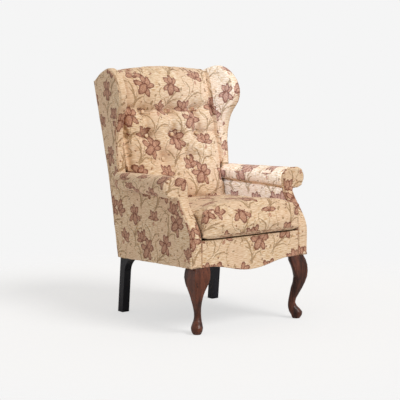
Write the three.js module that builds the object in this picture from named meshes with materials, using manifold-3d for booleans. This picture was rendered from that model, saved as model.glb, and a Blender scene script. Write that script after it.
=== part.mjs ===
// A wingback fireside chair: a beech frame on two cabriole front legs and two raked rear legs,
// zig-zag seat springs, a deep-buttoned back between flared wings, scroll arms and a loose cushion.
// Millimetres. +Z is up, the chair faces -Y, and left and right are the sitter's (left is +X).
import * as THREE from 'three';
import { mergeVertices } from 'three/addons/utils/BufferGeometryUtils.js';
import Module from 'manifold-3d';

const wasm = await Module();
wasm.setup();

// Clearances
const touch = 0.3;
const softGap = 0.5;
const cutOver = 6;

// Covered body
const frontFaceY = -291;
const rearBottomY = 281;
const bodyHalfFront = 310;
const bodyHalfRear = 284;
const bodyBottomZ = 276;
const seatFall = 30;
const outerCover = 4.5;

// Rake of the back, which leans further back above the bend
const lowerRakeShare = 0.195;
const upperRakeShare = 0.1;
const backBendZ = 560;
const backBendRun = 120;
const bendStep = 40;

// Seat frame
const railThick = 28;
const railSetUp = 6;
const railHeight = 90;
const postSize = 42;
const borderThick = 12;
const bowDrop = 33;
const bowHalf = 220;
const backRailInset = 41;
const backRailThick = 26;
const blockReach = 72;
const blockSetUp = 18;
const blockHeight = 26;

// Back frame
const uprightWidth = 36;
const uprightDepth = 40;
const uprightTopDrop = 80;
const backPlankInset = 4;
const crestHeight = 80;
const tackingSetUp = 24;
const tackingHeight = 40;
const archRise = 20;
const archFadeHeight = 55;
const archColumns = 10;
const webHeight = 50;
const webThick = 2;
const webSetUp = 128;
const webTopDrop = 95;
const webCount = 3;
const webLap = 7;

// Arms
const armFrontWidth = 52;
const armRearWidth = 31;
const armPanelThick = 18;
const facingWidth = 54;
const facingThick = 12;
const facingEase = 4;
const sweepSetUp = 18;
const sweepPastNeck = 14;
const sweepSteps = 12;
const sweepBack = 97;
const scrollOverhang = 20;
const scrollCentreZ = 597;
const scrollRadius = 44;
const rollBulge = 3.5;
const rollShoulderWidth = 47.5;
const neckRise = 3;
const neckNotch = 4;
const overhangLossShare = 0.6;
const rollDropShare = 0.2;
const armRailSetUp = 11;
const armRailThick = 23;
const armRailSetIn = 16;
const armRailWidthFront = 48;
const armRailWidthRear = 22;
const armRailTaper = 5;
const armPostDepth = 45;

// Wings: the edge is given as shares of the reach forward of the rear line and of the rise
const wingTopZ = 1065;
const wingReach = 260;
const wingThick = 40;
const wingPadThick = 14;
const wingFlareShare = 0.175;
const wingBorderLap = 4;
const wingPostWidth = 48;
const wingPostTopDrop = 5;
const wingEdgeShares = [
  [0.4, 0], [0.46, 0.2], [0.535, 0.4], [0.69, 0.568], [0.93, 0.705], [1, 0.82],
  [0.9, 0.94], [0.69, 1], [0.4, 0.973], [0.2, 0.931], [0, 0.885], [-0.1, 0.86],
];

// Buttoned back pad
const padEdgeDepth = 130;
const padCrown = 28;
const padTopDrop = 15;
const padRearTopDrop = 58;
const padRidgeDepth = 88;
const padTuckIn = 14;
const padTuckRise = 110;
const buttonSpacing = 137;
const buttonRowRise = 104;
const buttonMiddleDrop = 293;
const buttonRadius = 11;
const buttonThick = 6;
const buttonSeat = 9;
const tuftDepth = 34;
const tuftSpread = 30;
const pleatDepth = 11;
const pleatSpread = 14;
const sidePleatLift = 30;
const columnsPerSpacing = 6;
const rowsPerRise = 5;

// Seat
const cushionOverhang = 21;
const cushionGap = 5;
const cushionThick = 126;
const cushionEdgeRound = 30;
const cushionCrown = 18;
const cushionFrontBulge = 8;
const cushionDrawIn = 5;
const cushionCornerSpread = 18;
const deckThick = 10;
const deckGap = 3;
const springWire = 3.8;
const springHalfWidth = 25;
const springSideGap = 13;
const springCount = 4;
const springBars = 10;
const dustCoverThick = 1.5;

// Front legs: the sections are shares of the height and of the blank that a leg is sawn from
const footInsetX = 44;
const footInsetY = 22;
const legBlank = 75;
const legShoulder = 0.6;
const legNeckInset = 6;
const legNeckDip = 12;
const cabrioleShares = [
  { rise: 0, outer: 0.24, inner: -0.2, half: 0.22, arris: 0 },
  { rise: 0.05, outer: 0.36, inner: -0.27, half: 0.31, arris: 0 },
  { rise: 0.1, outer: 0.385, inner: -0.385, half: 0.34, arris: 0 },
  { rise: 0.15, outer: 0.24, inner: -0.44, half: 0.29, arris: 0.05 },
  { rise: 0.195, outer: 0.065, inner: -0.46, half: 0.235, arris: 0.15 },
  { rise: 0.247, outer: -0.025, inner: -0.453, half: 0.205, arris: 0.3 },
  { rise: 0.31, outer: 0.02, inner: -0.42, half: 0.2, arris: 0.45 },
  { rise: 0.39, outer: 0.185, inner: -0.365, half: 0.225, arris: 0.6 },
  { rise: 0.475, outer: 0.36, inner: -0.31, half: 0.275, arris: 0.75 },
  { rise: 0.572, outer: 0.53, inner: -0.2, half: 0.36, arris: 0.9 },
  { rise: 0.663, outer: 0.65, inner: -0.167, half: 0.48, arris: 1 },
  { rise: 0.754, outer: 0.685, inner: -0.227, half: 0.64, arris: 1 },
  { rise: 0.844, outer: 0.655, inner: -0.32, half: 0.73, arris: 1 },
  { rise: 0.924, outer: 0.565, inner: -0.46, half: 0.72, arris: 1 },
  { rise: 1, outer: 0.413, inner: -0.5, half: 0.67, arris: 0.94 },
];

// Rear legs
const rearLegSize = 35;
const rearLegInset = 18;
const rearLegProud = 5;
const rearLegRake = 24;
const haunchReach = 45;
const haunchDrop = 60;
const boltRadius = 4;
const boltClearance = 0.3;
const boltBelow = 50;
const boltLength = 120;

// Finishes
function finish(color, roughness, metalness = 0) {
  return new THREE.MeshStandardMaterial({ color, roughness, metalness });
}
const cloth = finish('#dcc39c', 0.95);
const beech = finish('#c8a878', 0.7);
const mahogany = finish('#3d1a12', 0.25);
const ebonised = finish('#17110f', 0.35);
const steel = finish('#7d8084', 0.4, 0.9);
const webbing = finish('#34312d', 0.9);
const felt = finish('#b5ad9d', 0.95);
const cambric = finish('#1f1f21', 0.95);

// Levels worked out from the sizes above
const railBottomZ = bodyBottomZ + railSetUp;
const railTopZ = railBottomZ + railHeight;
const rearBottomZ = bodyBottomZ - seatFall;
const uprightTopZ = wingTopZ - uprightTopDrop;
const padTopZ = wingTopZ - padTopDrop;
const padRearTopZ = wingTopZ - padRearTopDrop;
const neckZ = scrollCentreZ - scrollRadius + neckRise;
const scrollFrontY = frontFaceY + sweepBack;
const armInnerX = bodyHalfFront - armFrontWidth;
const armToeIn = armInnerX - bodyHalfRear + armRearWidth;

// Lines that several pieces follow
function smooth(value, low, high) {
  const t = THREE.MathUtils.clamp((value - low) / (high - low), 0, 1);
  return t * t * (3 - 2 * t);
}

// Both long curves run in short straights, with their levels shared by every piece that follows them
function bendBack(z) {
  const aboveBend = Math.max(z - backBendZ, 0);
  return (upperRakeShare * aboveBend ** 2) / (aboveBend + backBendRun);
}

function rearLine(z) {
  const lowLevel = backBendZ + Math.floor(Math.max(z - backBendZ, 0) / bendStep) * bendStep;
  const share = Math.max(z - lowLevel, 0) / bendStep;
  const bend = THREE.MathUtils.lerp(bendBack(lowLevel), bendBack(lowLevel + bendStep), share);
  return rearBottomY + lowerRakeShare * (z - rearBottomZ) + bend;
}

const bendCount = Math.ceil((wingTopZ + archRise - backBendZ) / bendStep);
const bendLevels = Array.from({ length: bendCount + 1 }, (_, i) => backBendZ + i * bendStep);

function outerX(y) {
  const along = Math.min((y - frontFaceY) / (rearBottomY - frontFaceY), 1);
  return THREE.MathUtils.lerp(bodyHalfFront, bodyHalfRear, along);
}

function fallAt(y) {
  return (seatFall * (y - frontFaceY)) / (rearBottomY - frontFaceY);
}

function bowAt(x) {
  return Math.abs(x) < bowHalf ? (bowDrop * (1 + Math.cos((Math.PI * x) / bowHalf))) / 2 : 0;
}

const sweepLowZ = railTopZ + sweepSetUp;
const sweepStep = (neckZ + sweepPastNeck - sweepLowZ) / sweepSteps;
const sweepLevels = Array.from({ length: sweepSteps + 1 }, (_, i) => sweepLowZ + i * sweepStep);

function facingFront(z) {
  const step = THREE.MathUtils.clamp((z - sweepLowZ) / sweepStep, 0, sweepSteps);
  const [low, high] = [Math.floor(step), Math.ceil(step)].map((level) => smooth(level, 0, sweepSteps));
  const sweep = THREE.MathUtils.lerp(low, high, step - Math.floor(step));
  return THREE.MathUtils.lerp(frontFaceY, scrollFrontY, sweep);
}

function levelsBetween(low, high, levels) {
  return [low, ...levels.filter((z) => z > low && z < high), high];
}

const archHalf = bodyHalfRear - wingThick + padEdgeDepth * wingFlareShare;
function archLift(x, z) {
  const across = Math.cos((Math.PI * Math.min(Math.abs(x) / archHalf, 1)) / 2);
  return archRise * across * smooth(z, uprightTopZ - archFadeHeight, uprightTopZ);
}

// Solids from outlines and sections
function closed(geometry) {
  geometry.deleteAttribute('normal');
  geometry.deleteAttribute('uv');
  return mergeVertices(geometry);
}

function placed(geometry, place) {
  const position = geometry.getAttribute('position');
  const point = new THREE.Vector3();
  for (let i = 0; i < position.count; i += 1) {
    point.fromBufferAttribute(position, i);
    place(point);
    position.setXYZ(i, point.x, point.y, point.z);
  }
  return geometry;
}

function prism(outline, depth, settings = {}) {
  const drawn = outline instanceof THREE.Shape;
  const shape = drawn ? outline : new THREE.Shape(outline.map(([u, v]) => new THREE.Vector2(u, v)));
  return new THREE.ExtrudeGeometry(shape, { depth, bevelEnabled: false, curveSegments: 6, ...settings });
}

// The outline holds y and z, and the solid runs along X
function alongX(outline, xLow, xHigh, settings) {
  const turned = new THREE.Matrix4().makeBasis(
    new THREE.Vector3(0, 1, 0), new THREE.Vector3(0, 0, 1), new THREE.Vector3(1, 0, 0),
  );
  return closed(prism(outline, xHigh - xLow, settings)).applyMatrix4(turned).translate(xLow, 0, 0);
}

// The outline holds x and z, and the solid runs along Y
function alongY(outline, yLow, yHigh, settings) {
  return closed(prism(outline, yHigh - yLow, settings)).rotateX(Math.PI / 2).translate(0, yHigh, 0);
}

// The outline holds x and y, and the solid runs along Z
function alongZ(outline, zLow, zHigh) {
  return closed(prism(outline, zHigh - zLow)).translate(0, 0, zLow);
}

function box(xLow, xHigh, yLow, yHigh, zLow, zHigh) {
  const block = closed(new THREE.BoxGeometry(xHigh - xLow, yHigh - yLow, zHigh - zLow));
  return block.translate((xLow + xHigh) / 2, (yLow + yHigh) / 2, (zLow + zHigh) / 2);
}

function signedVolume(position, index) {
  const [a, b, c] = [new THREE.Vector3(), new THREE.Vector3(), new THREE.Vector3()];
  let volume = 0;
  for (let i = 0; i < index.length; i += 3) {
    a.fromArray(position, 3 * index[i]);
    b.fromArray(position, 3 * index[i + 1]);
    c.fromArray(position, 3 * index[i + 2]);
    volume += a.dot(b.cross(c));
  }
  return volume;
}

// A closed skin through rings that all have the same number of points
function loft(rings) {
  const count = rings[0].length;
  const position = rings.flat().flatMap((point) => point.toArray());
  const index = [];
  for (let row = 0; row < rings.length - 1; row += 1) {
    for (let k = 0; k < count; k += 1) {
      const here = row * count + k;
      const next = row * count + ((k + 1) % count);
      index.push(here, next, next + count, here, next + count, here + count);
    }
  }
  const flat = (ring) => {
    const area = new THREE.Vector3();
    ring.forEach((point, i) => area.add(point.clone().cross(ring[(i + 1) % count])));
    const sizes = area.toArray().map(Math.abs);
    const dropped = sizes.indexOf(Math.max(...sizes));
    return ring.map((point) => new THREE.Vector2(...point.toArray().filter((_, axis) => axis !== dropped)));
  };
  const cap = (ring, first, reversed) => {
    const outline = flat(ring);
    const turn = Math.sign(THREE.ShapeUtils.area(outline));
    for (const [a, b, c] of THREE.ShapeUtils.triangulateShape(outline, [])) {
      const same = Math.sign(THREE.ShapeUtils.area([outline[a], outline[b], outline[c]])) === turn;
      const corners = same === reversed ? [c, b, a] : [a, b, c];
      index.push(...corners.map((corner) => first + corner));
    }
  };
  cap(rings[0], 0, true);
  cap(rings.at(-1), (rings.length - 1) * count, false);
  if (signedVolume(position, index) < 0) index.reverse();
  const geometry = new THREE.BufferGeometry();
  geometry.setAttribute('position', new THREE.Float32BufferAttribute(position, 3));
  geometry.setIndex(index);
  return geometry;
}

function toManifold(geometry) {
  return new wasm.Manifold(new wasm.Mesh({
    numProp: 3,
    vertProperties: new Float32Array(geometry.getAttribute('position').array),
    triVerts: new Uint32Array(geometry.getIndex().array),
  }));
}

function fromManifold(solid) {
  const mesh = solid.getMesh();
  const geometry = new THREE.BufferGeometry();
  geometry.setAttribute('position', new THREE.Float32BufferAttribute(mesh.vertProperties, 3));
  geometry.setIndex([...mesh.triVerts]);
  return geometry;
}

function cut(body, ...tools) {
  return fromManifold(tools.reduce((left, tool) => left.subtract(toManifold(tool)), toManifold(body)));
}

function joined(...parts) {
  return fromManifold(parts.map(toManifold).reduce((sum, part) => sum.add(part)));
}

function common(first, second) {
  return fromManifold(toManifold(first).intersect(toManifold(second)));
}

function mirrored(geometry) {
  const other = geometry.clone().scale(-1, 1, 1);
  other.setIndex([...other.getIndex().array].reverse());
  return other;
}

// The chair and its pieces
const chair = new THREE.Group();

function add(name, geometry, material) {
  const mesh = new THREE.Mesh(geometry, material);
  mesh.name = name;
  chair.add(mesh);
}

function addPair(name, geometry, material) {
  add(`${name}_left`, geometry, material);
  add(`${name}_right`, mirrored(geometry), material);
}

// The seat frame slopes down to the rear
function sloped(geometry) {
  return placed(geometry, (point) => { point.z -= fallAt(point.y); });
}

// Seat frame: its outer faces lie just inside the outside covers
const coverGap = outerCover + touch;
const postFrontY = frontFaceY + borderThick + touch;
const postOuterX = outerX(postFrontY + postSize) - coverGap;
const postInnerX = postOuterX - postSize;
const uprightOuterX = bodyHalfRear - coverGap;
const uprightInnerX = uprightOuterX - uprightWidth;
const uprightFrontDepth = coverGap + uprightDepth;
const backRailFrontY = rearBottomY - backRailInset;
const blockBottomZ = railBottomZ + blockSetUp;

function bowedOutline(halfWidth, topZ, bottomZ) {
  const steps = 20;
  const lower = Array.from({ length: steps + 1 }, (_, i) => {
    const x = halfWidth * ((2 * i) / steps - 1);
    return [x, bottomZ - bowAt(x)];
  });
  return [...lower, [halfWidth, topZ], [-halfWidth, topZ]];
}

function frontRail() {
  const outline = bowedOutline(postInnerX - touch, railTopZ, railBottomZ);
  return sloped(alongY(outline, postFrontY, postFrontY + railThick));
}

function sideRail() {
  const start = postFrontY + postSize + touch;
  const rail = box(-railThick, 0, 0, 1, railBottomZ, railTopZ);
  return placed(rail, (point) => {
    const rear = rearLine(point.z - seatFall) - uprightFrontDepth - touch;
    point.y = point.y === 0 ? start : rear;
    point.z -= fallAt(point.y);
    point.x += outerX(point.y) - coverGap;
  });
}

function backRail() {
  const half = uprightInnerX - touch;
  const rear = backRailFrontY + backRailThick;
  return sloped(box(-half, half, backRailFrontY, rear, railBottomZ, railTopZ));
}

// A corner block is let in round the leg post or the upright
function sideRailInner(y) {
  return outerX(y) - coverGap - railThick - touch;
}

function frontBlock() {
  const rear = postFrontY + railThick + touch;
  const notchY = postFrontY + postSize + touch;
  const reachY = notchY + blockReach;
  return sloped(alongZ([
    [postInnerX - touch - blockReach, rear], [postInnerX - touch, rear], [postInnerX - touch, notchY],
    [sideRailInner(notchY), notchY], [sideRailInner(reachY), reachY],
  ], blockBottomZ, blockBottomZ + blockHeight));
}

function rearBlock() {
  const front = backRailFrontY - touch;
  const notchY = front - touch - seatFall * lowerRakeShare;
  const reachY = notchY - blockReach;
  return sloped(alongZ([
    [uprightInnerX - blockReach, front], [sideRailInner(reachY), reachY], [sideRailInner(notchY), notchY],
    [uprightInnerX - touch, notchY], [uprightInnerX - touch, front],
  ], blockBottomZ, blockBottomZ + blockHeight));
}

add('front_rail', frontRail(), beech);
add('back_rail', backRail(), beech);
addPair('side_rail', sideRail(), beech);
addPair('front_corner_block', frontBlock(), beech);
addPair('rear_corner_block', rearBlock(), beech);

// Back frame: every piece is set by its depth forward of the rear line
function atDepth(x, depth, z) {
  return new THREE.Vector3(x, rearLine(z) - depth, z);
}

function rakedBoard(xLow, xHigh, depthLow, depthHigh, zLow, zHigh) {
  return loft(levelsBetween(zLow, zHigh, bendLevels).map((z) => [
    atDepth(xLow, depthLow, z), atDepth(xHigh, depthLow, z),
    atDepth(xHigh, depthHigh, z), atDepth(xLow, depthHigh, z),
  ]));
}

const rearLegInnerX = bodyHalfRear - rearLegInset - rearLegSize;
const rearLegTopY = rearBottomY + rearLegProud - rearLegSize;
const boltX = (uprightInnerX + rearLegInnerX + rearLegSize) / 2;
const boltY = (rearLegTopY + rearBottomY - coverGap) / 2;

function boltShaft(radius, spare) {
  const shaft = closed(new THREE.CylinderGeometry(radius, radius, boltLength + 2 * spare, 12));
  return shaft.rotateX(Math.PI / 2).translate(boltX, boltY, rearBottomZ - boltBelow + boltLength / 2);
}

function upright() {
  const board = rakedBoard(
    uprightInnerX, uprightOuterX, coverGap, uprightFrontDepth, rearBottomZ, uprightTopZ,
  );
  return cut(board, boltShaft(boltRadius + boltClearance, boltClearance));
}

function crestRail() {
  const half = uprightInnerX - touch;
  return loft(Array.from({ length: archColumns + 1 }, (_, i) => {
    const x = half * ((2 * i) / archColumns - 1);
    const top = uprightTopZ + archLift(x, uprightTopZ);
      const rear = coverGap + backPlankInset;
    const front = uprightFrontDepth - backPlankInset;
    return [
      atDepth(x, rear, uprightTopZ - crestHeight), atDepth(x, front, uprightTopZ - crestHeight),
      atDepth(x, front, top), atDepth(x, rear, top),
    ];
  }));
}

addPair('back_upright', upright(), beech);
add('crest_rail', crestRail(), beech);
const tackingZ = railTopZ + tackingSetUp;
add('back_tacking_rail', rakedBoard(
  touch - uprightInnerX, uprightInnerX - touch, coverGap + backPlankInset,
  uprightFrontDepth - backPlankInset, tackingZ, tackingZ + tackingHeight,
), beech);
const webTravel = uprightTopZ - webTopDrop - webHeight - railTopZ - webSetUp;
for (let i = 0; i < webCount; i += 1) {
  const bottom = railTopZ + webSetUp + (webTravel * i) / (webCount - 1);
  const half = uprightInnerX + webLap;
  add(`back_web_${i + 1}`, rakedBoard(
    -half, half, uprightFrontDepth + touch, uprightFrontDepth + touch + webThick, bottom, bottom + webHeight,
  ), webbing);
}

// Wings: the outer face is a plane that flares forwards, and every layer is a depth inside it
const wingRise = wingTopZ - neckZ;
const rearChordShare = (rearLine(padRearTopZ) - rearLine(neckZ)) / (padRearTopZ - neckZ);

function wingPlane(y, z) {
  return bodyHalfRear + wingFlareShare * (rearLine(neckZ) + rearChordShare * (z - neckZ) - y);
}

const wingCurve = new THREE.SplineCurve(wingEdgeShares.map(
  ([reach, rise]) => new THREE.Vector2(reach * wingReach, neckZ + rise * wingRise),
));
const wingEdge = wingCurve.getPoints(44).map((point) => (
  new THREE.Vector2(rearLine(point.y) - point.x, point.y)
));

// The edge moved inwards, square to itself
function insetEdge(distance) {
  return wingEdge.map((point, i) => {
    const before = wingEdge[Math.max(i - 1, 0)];
    const after = wingEdge[Math.min(i + 1, wingEdge.length - 1)];
    const run = after.clone().sub(before).normalize();
    return new THREE.Vector2(point.x + run.y * distance, point.y - run.x * distance);
  });
}

// Where a line of points first passes a limit, and the point it does so at
function crossing(line, measure, limit) {
  const after = line.findIndex((point, i) => i > 0 && measure(point) >= limit);
  const [low, high] = [line[after - 1], line[after]];
  const share = (limit - measure(low)) / (measure(high) - measure(low));
  return { after, point: low.clone().lerp(high, share) };
}

function wingFrontY(z) {
  return crossing(wingEdge, (point) => point.y, z).point.x;
}

function rearEdge(depth, zHigh, zLow) {
  const levels = levelsBetween(zLow, zHigh, bendLevels).reverse();
  return levels.map((z) => new THREE.Vector2(rearLine(z) - depth, z));
}

function wingRegion(inset, zLow, rearDepth) {
  const edge = insetEdge(inset);
  const foot = crossing(edge, (point) => point.y, zLow);
  const corner = crossing(edge, (point) => point.x - rearLine(point.y), -rearDepth);
  return [
    foot.point, ...edge.slice(foot.after, corner.after), ...rearEdge(rearDepth, corner.point.y, zLow),
  ];
}

function wingLayer(outline, depthLow, depthHigh, settings) {
  const layer = alongX(outline.map((point) => point.toArray()), -depthHigh, -depthLow, settings);
  return placed(layer, (point) => { point.x += wingPlane(point.y, point.z); });
}

const armRailBottomZ = neckZ + armRailSetUp;
const armRailTopZ = armRailBottomZ + armRailThick;
const wingPostTopZ = uprightTopZ - wingPostTopDrop;
const wingFootZ = armRailTopZ + touch;
const woodDepth = wingThick - wingPadThick;

// The wing's post and rail are cut from one flat shape, with a joint between them
function wingWood(zLow, zHigh, rearDepth, backEdge) {
  const outline = wingRegion(wingPadThick + touch, zLow, rearDepth);
  const body = wingLayer(outline, coverGap, woodDepth - touch);
  const slice = [
    new THREE.Vector2(frontFaceY, zLow), ...backEdge, new THREE.Vector2(frontFaceY, zHigh),
  ];
  return common(body, wingLayer(slice, -cutOver, wingThick));
}

function wingPost() {
  const back = insetEdge(wingPadThick + wingPostWidth);
  const [foot, head] = [wingFootZ, wingPostTopZ].map((z) => crossing(back, (point) => point.y, z));
  const backEdge = [foot.point, ...back.slice(foot.after, head.after), head.point];
  return wingWood(wingFootZ, wingPostTopZ, uprightFrontDepth + touch, backEdge);
}

function wingRail() {
  const [bottom, top] = [wingPostTopZ + touch, wingTopZ];
  const backEdge = [new THREE.Vector2(rearLine(bottom), bottom), new THREE.Vector2(rearLine(top), top)];
  return wingWood(bottom, top, uprightFrontDepth + touch, backEdge);
}

function wingPad() {
  const ease = { bevelEnabled: true, bevelThickness: facingEase, bevelSize: facingEase, bevelSegments: 2 };
  const body = wingLayer(
    wingRegion(0, wingFootZ, coverGap), coverGap + facingEase, wingThick - facingEase,
    { ...ease, bevelOffset: -facingEase },
  );
  const pocket = wingLayer(
    wingRegion(wingPadThick, wingFootZ - cutOver, -cutOver), -cutOver, woodDepth,
  );
  const uprightFront = rearEdge(uprightFrontDepth + touch, uprightTopZ + touch, wingFootZ - cutOver);
  const rear = wingLayer([
    ...uprightFront, new THREE.Vector2(rearLine(uprightTopZ) + cutOver, wingFootZ - cutOver),
    new THREE.Vector2(rearLine(uprightTopZ) + cutOver, uprightTopZ + touch),
  ], -cutOver, wingThick + cutOver);
  return cut(body, pocket, rear);
}

addPair('wing_post', wingPost(), beech);
addPair('wing_rail', wingRail(), beech);
addPair('wing_pad', wingPad(), cloth);
addPair('outside_wing', wingLayer(wingRegion(wingBorderLap, neckZ, coverGap), 0, outerCover), cloth);

// Arms: the roll thins and narrows towards the wing
const neckOuterX = outerX(scrollFrontY);
const facingInnerX = bodyHalfFront - facingWidth;
const scrollCentreX = bodyHalfFront + scrollOverhang;
const rollInnerX = armInnerX - rollBulge;
const armRailInnerX = armInnerX + armRailSetIn;
const rollTopZ = scrollCentreZ + scrollRadius;
const shoulderZ = scrollCentreZ + facingEase;

function alongArm(y) {
  return THREE.MathUtils.clamp((y - scrollFrontY) / (wingFrontY(neckZ) - scrollFrontY), 0, 1);
}

function armInnerAt(y) {
  return armInnerX - armToeIn * alongArm(y);
}

function rollShrink(x, y) {
  return alongArm(y) * (armToeIn + Math.max(x - neckOuterX, 0) * overhangLossShare);
}

function rollHeight(y, z) {
  return z > neckZ ? neckZ + (z - neckZ) * (1 - rollDropShare * alongArm(y)) : z;
}

// The rail is the same thickness all along, inside a roll that thins above it
function armRailSolid(spare) {
  const front = facingFront(armRailTopZ) + facingThick + touch;
  const rear = rearLine(armRailBottomZ) - uprightFrontDepth - touch;
  const section = (y, low, high) => [
    new THREE.Vector3(low - spare, y, armRailBottomZ - spare),
    new THREE.Vector3(high + spare, y, armRailBottomZ - spare),
    new THREE.Vector3(high + spare, y, armRailTopZ + spare),
    new THREE.Vector3(low - spare, y, armRailTopZ + spare),
  ];
  const inner = armRailInnerX - armToeIn - armRailTaper;
  return loft([
    section(front - spare * cutOver, armRailInnerX, armRailInnerX + armRailWidthFront),
    section(rear + spare, inner, inner + armRailWidthRear),
  ]);
}

function facingSpace() {
  const [inner, outer] = [armInnerX - legBlank, scrollCentreX + legBlank];
  return loft(levelsBetween(bodyBottomZ, rollTopZ + cutOver, sweepLevels).map((z) => {
    const back = facingFront(z) + facingThick + touch;
    return [
      new THREE.Vector3(inner, frontFaceY - cutOver, z), new THREE.Vector3(outer, frontFaceY - cutOver, z),
      new THREE.Vector3(outer, back, z), new THREE.Vector3(inner, back, z),
    ];
  }));
}

function armPad() {
  const outline = new THREE.Shape();
  const innerBack = armInnerX + armPanelThick;
  const pocketZ = armRailBottomZ + armRailThick / 2;
  outline.moveTo(armInnerX, railTopZ);
  for (const z of levelsBetween(railTopZ, neckZ - neckNotch, sweepLevels)) outline.lineTo(armInnerX, z);
  outline.lineTo(armInnerX + neckNotch, neckZ);
  outline.quadraticCurveTo(rollInnerX, neckZ + neckNotch, rollInnerX, neckZ + 2 * neckNotch + armPanelThick);
  outline.lineTo(rollInnerX, shoulderZ);
  outline.absellipse(
    rollInnerX + rollShoulderWidth, shoulderZ, rollShoulderWidth, rollTopZ - shoulderZ,
    Math.PI, Math.PI / 2, true,
  );
  outline.absarc(scrollCentreX, scrollCentreZ, scrollRadius, Math.PI / 2, -Math.PI / 2, true);
  outline.lineTo(neckOuterX, neckZ);
  outline.lineTo(neckOuterX, pocketZ);
  for (const z of levelsBetween(railTopZ, pocketZ, sweepLevels).reverse()) outline.lineTo(innerBack, z);
  const body = alongY(outline, 0, 1, { steps: 8 });
  placed(body, (point) => {
    const rear = wingFrontY(Math.max(rollHeight(wingFrontY(neckZ), point.z), neckZ)) - touch;
    point.y = THREE.MathUtils.lerp(frontFaceY, rear, point.y);
    point.x -= rollShrink(point.x, point.y);
    const lowness = THREE.MathUtils.clamp((neckZ - point.z) / (neckZ - railTopZ), 0, 1);
    point.z = rollHeight(point.y, point.z) - (fallAt(point.y) - touch) * lowness;
  });
  return cut(body, armRailSolid(touch), facingSpace());
}

// The post fills the arm from its inner panel to its outside cover
function armPost() {
  return loft(levelsBetween(railTopZ, armRailBottomZ - touch, sweepLevels).map((z) => {
    const front = facingFront(z) + facingThick + touch;
    const corner = (x, y) => new THREE.Vector3(x, y, z === railTopZ ? z + touch - fallAt(y) : z);
    const inner = (y) => armInnerAt(y) + armPanelThick + touch;
    const outer = (y) => outerX(y) - coverGap;
    const rear = front + armPostDepth;
    return [
      corner(inner(front), front), corner(outer(front), front),
      corner(outer(rear), rear), corner(inner(rear), rear),
    ];
  }));
}

// The facing's outline: a strip up the front of the arm that opens into the scroll
function facingInner(z) {
  if (z < neckZ) return facingInnerX;
  const turn = Math.min(Math.max((z - shoulderZ) / (rollTopZ - shoulderZ), 0), 1);
  return rollInnerX + rollShoulderWidth * (1 - Math.sqrt(1 - turn ** 2));
}

function facingOuter(z) {
  if (z <= scrollCentreZ - scrollRadius) return outerX(facingFront(z));
  return scrollCentreX + Math.sqrt(Math.max(scrollRadius ** 2 - (z - scrollCentreZ) ** 2, 0));
}

function armFacing() {
  const scrollBottomZ = scrollCentreZ - scrollRadius;
  const scrollRows = 12;
  const levels = levelsBetween(bodyBottomZ, scrollBottomZ, sweepLevels);
  for (let i = 1; i < scrollRows; i += 1) {
    levels.push(scrollCentreZ - scrollRadius * Math.cos((Math.PI * i) / scrollRows));
  }
  levels.push(rollTopZ - touch);
  return loft(levels.map((z) => {
    const [low, high] = [facingInner(z), facingOuter(z)];
    const front = facingFront(z);
    const ease = Math.min(facingEase, (high - low) / 3);
    return [
      new THREE.Vector3(low, front + facingThick, z), new THREE.Vector3(low, front + ease, z),
      new THREE.Vector3(low + ease, front, z), new THREE.Vector3(high - ease, front, z),
      new THREE.Vector3(high, front + ease, z), new THREE.Vector3(high, front + facingThick, z),
    ];
  }));
}

function outsideArm() {
  const top = neckZ - touch;
  const levels = levelsBetween(bodyBottomZ, top, sweepLevels);
  const front = levels.map((z) => [facingFront(z) + facingThick + touch, z]);
  const rearTop = rearEdge(coverGap, top, rearBottomZ).map((point) => point.toArray());
  const panel = alongX([...front, ...rearTop], -outerCover, 0);
  return placed(panel, (point) => { point.x += outerX(point.y); });
}

addPair('arm_rail', armRailSolid(0), beech);
addPair('arm_post', armPost(), beech);
addPair('arm_pad', armPad(), cloth);
addPair('arm_facing', armFacing(), cloth);
addPair('outside_arm', outsideArm(), cloth);

// Buttoned back pad
const buttonMiddleZ = wingTopZ - buttonMiddleDrop;
const deckBottomZ = railTopZ + touch + springWire + touch;
const deckTopZ = deckBottomZ + deckThick;
const padFootFrontY = rearLine(railTopZ) - padEdgeDepth - padCrown;
const padBottomZ = deckTopZ - fallAt(padFootFrontY) + touch;

const buttonRows = [
  { z: buttonMiddleZ + buttonRowRise, places: [-1, 0, 1] },
  { z: buttonMiddleZ, places: [-1, 0, 1] },
  { z: buttonMiddleZ - buttonRowRise, places: [-0.5, 0.5] },
];
const buttons = buttonRows.flatMap(({ z, places }) => (
  places.map((place) => new THREE.Vector2(place * buttonSpacing, z))
));

function pleatLines() {
  const [top, middle, low] = buttonRows;
  const at = (row, place) => new THREE.Vector2(place * buttonSpacing, row.z);
  const lines = [[at(top, -1), at(top, 1)]];
  for (const place of top.places) lines.push([at(top, place), at(middle, place)]);
  for (const place of middle.places) {
    for (const below of low.places) {
      if (Math.abs(place - below) < 1) lines.push([at(middle, place), at(low, below)]);
    }
  }
  for (const side of [-1, 1]) {
    const edge = new THREE.Vector2(side * archHalf, top.z + sidePleatLift);
    lines.push([at(top, side), edge], [at(middle, side), new THREE.Vector2(side * archHalf, middle.z)]);
  }
  return lines;
}
const pleats = pleatLines();

function distanceToLine(x, z, [start, end]) {
  const run = end.clone().sub(start);
  const offset = new THREE.Vector2(x, z).sub(start);
  const t = THREE.MathUtils.clamp(offset.dot(run) / run.lengthSq(), 0, 1);
  return offset.sub(run.multiplyScalar(t)).length();
}

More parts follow.
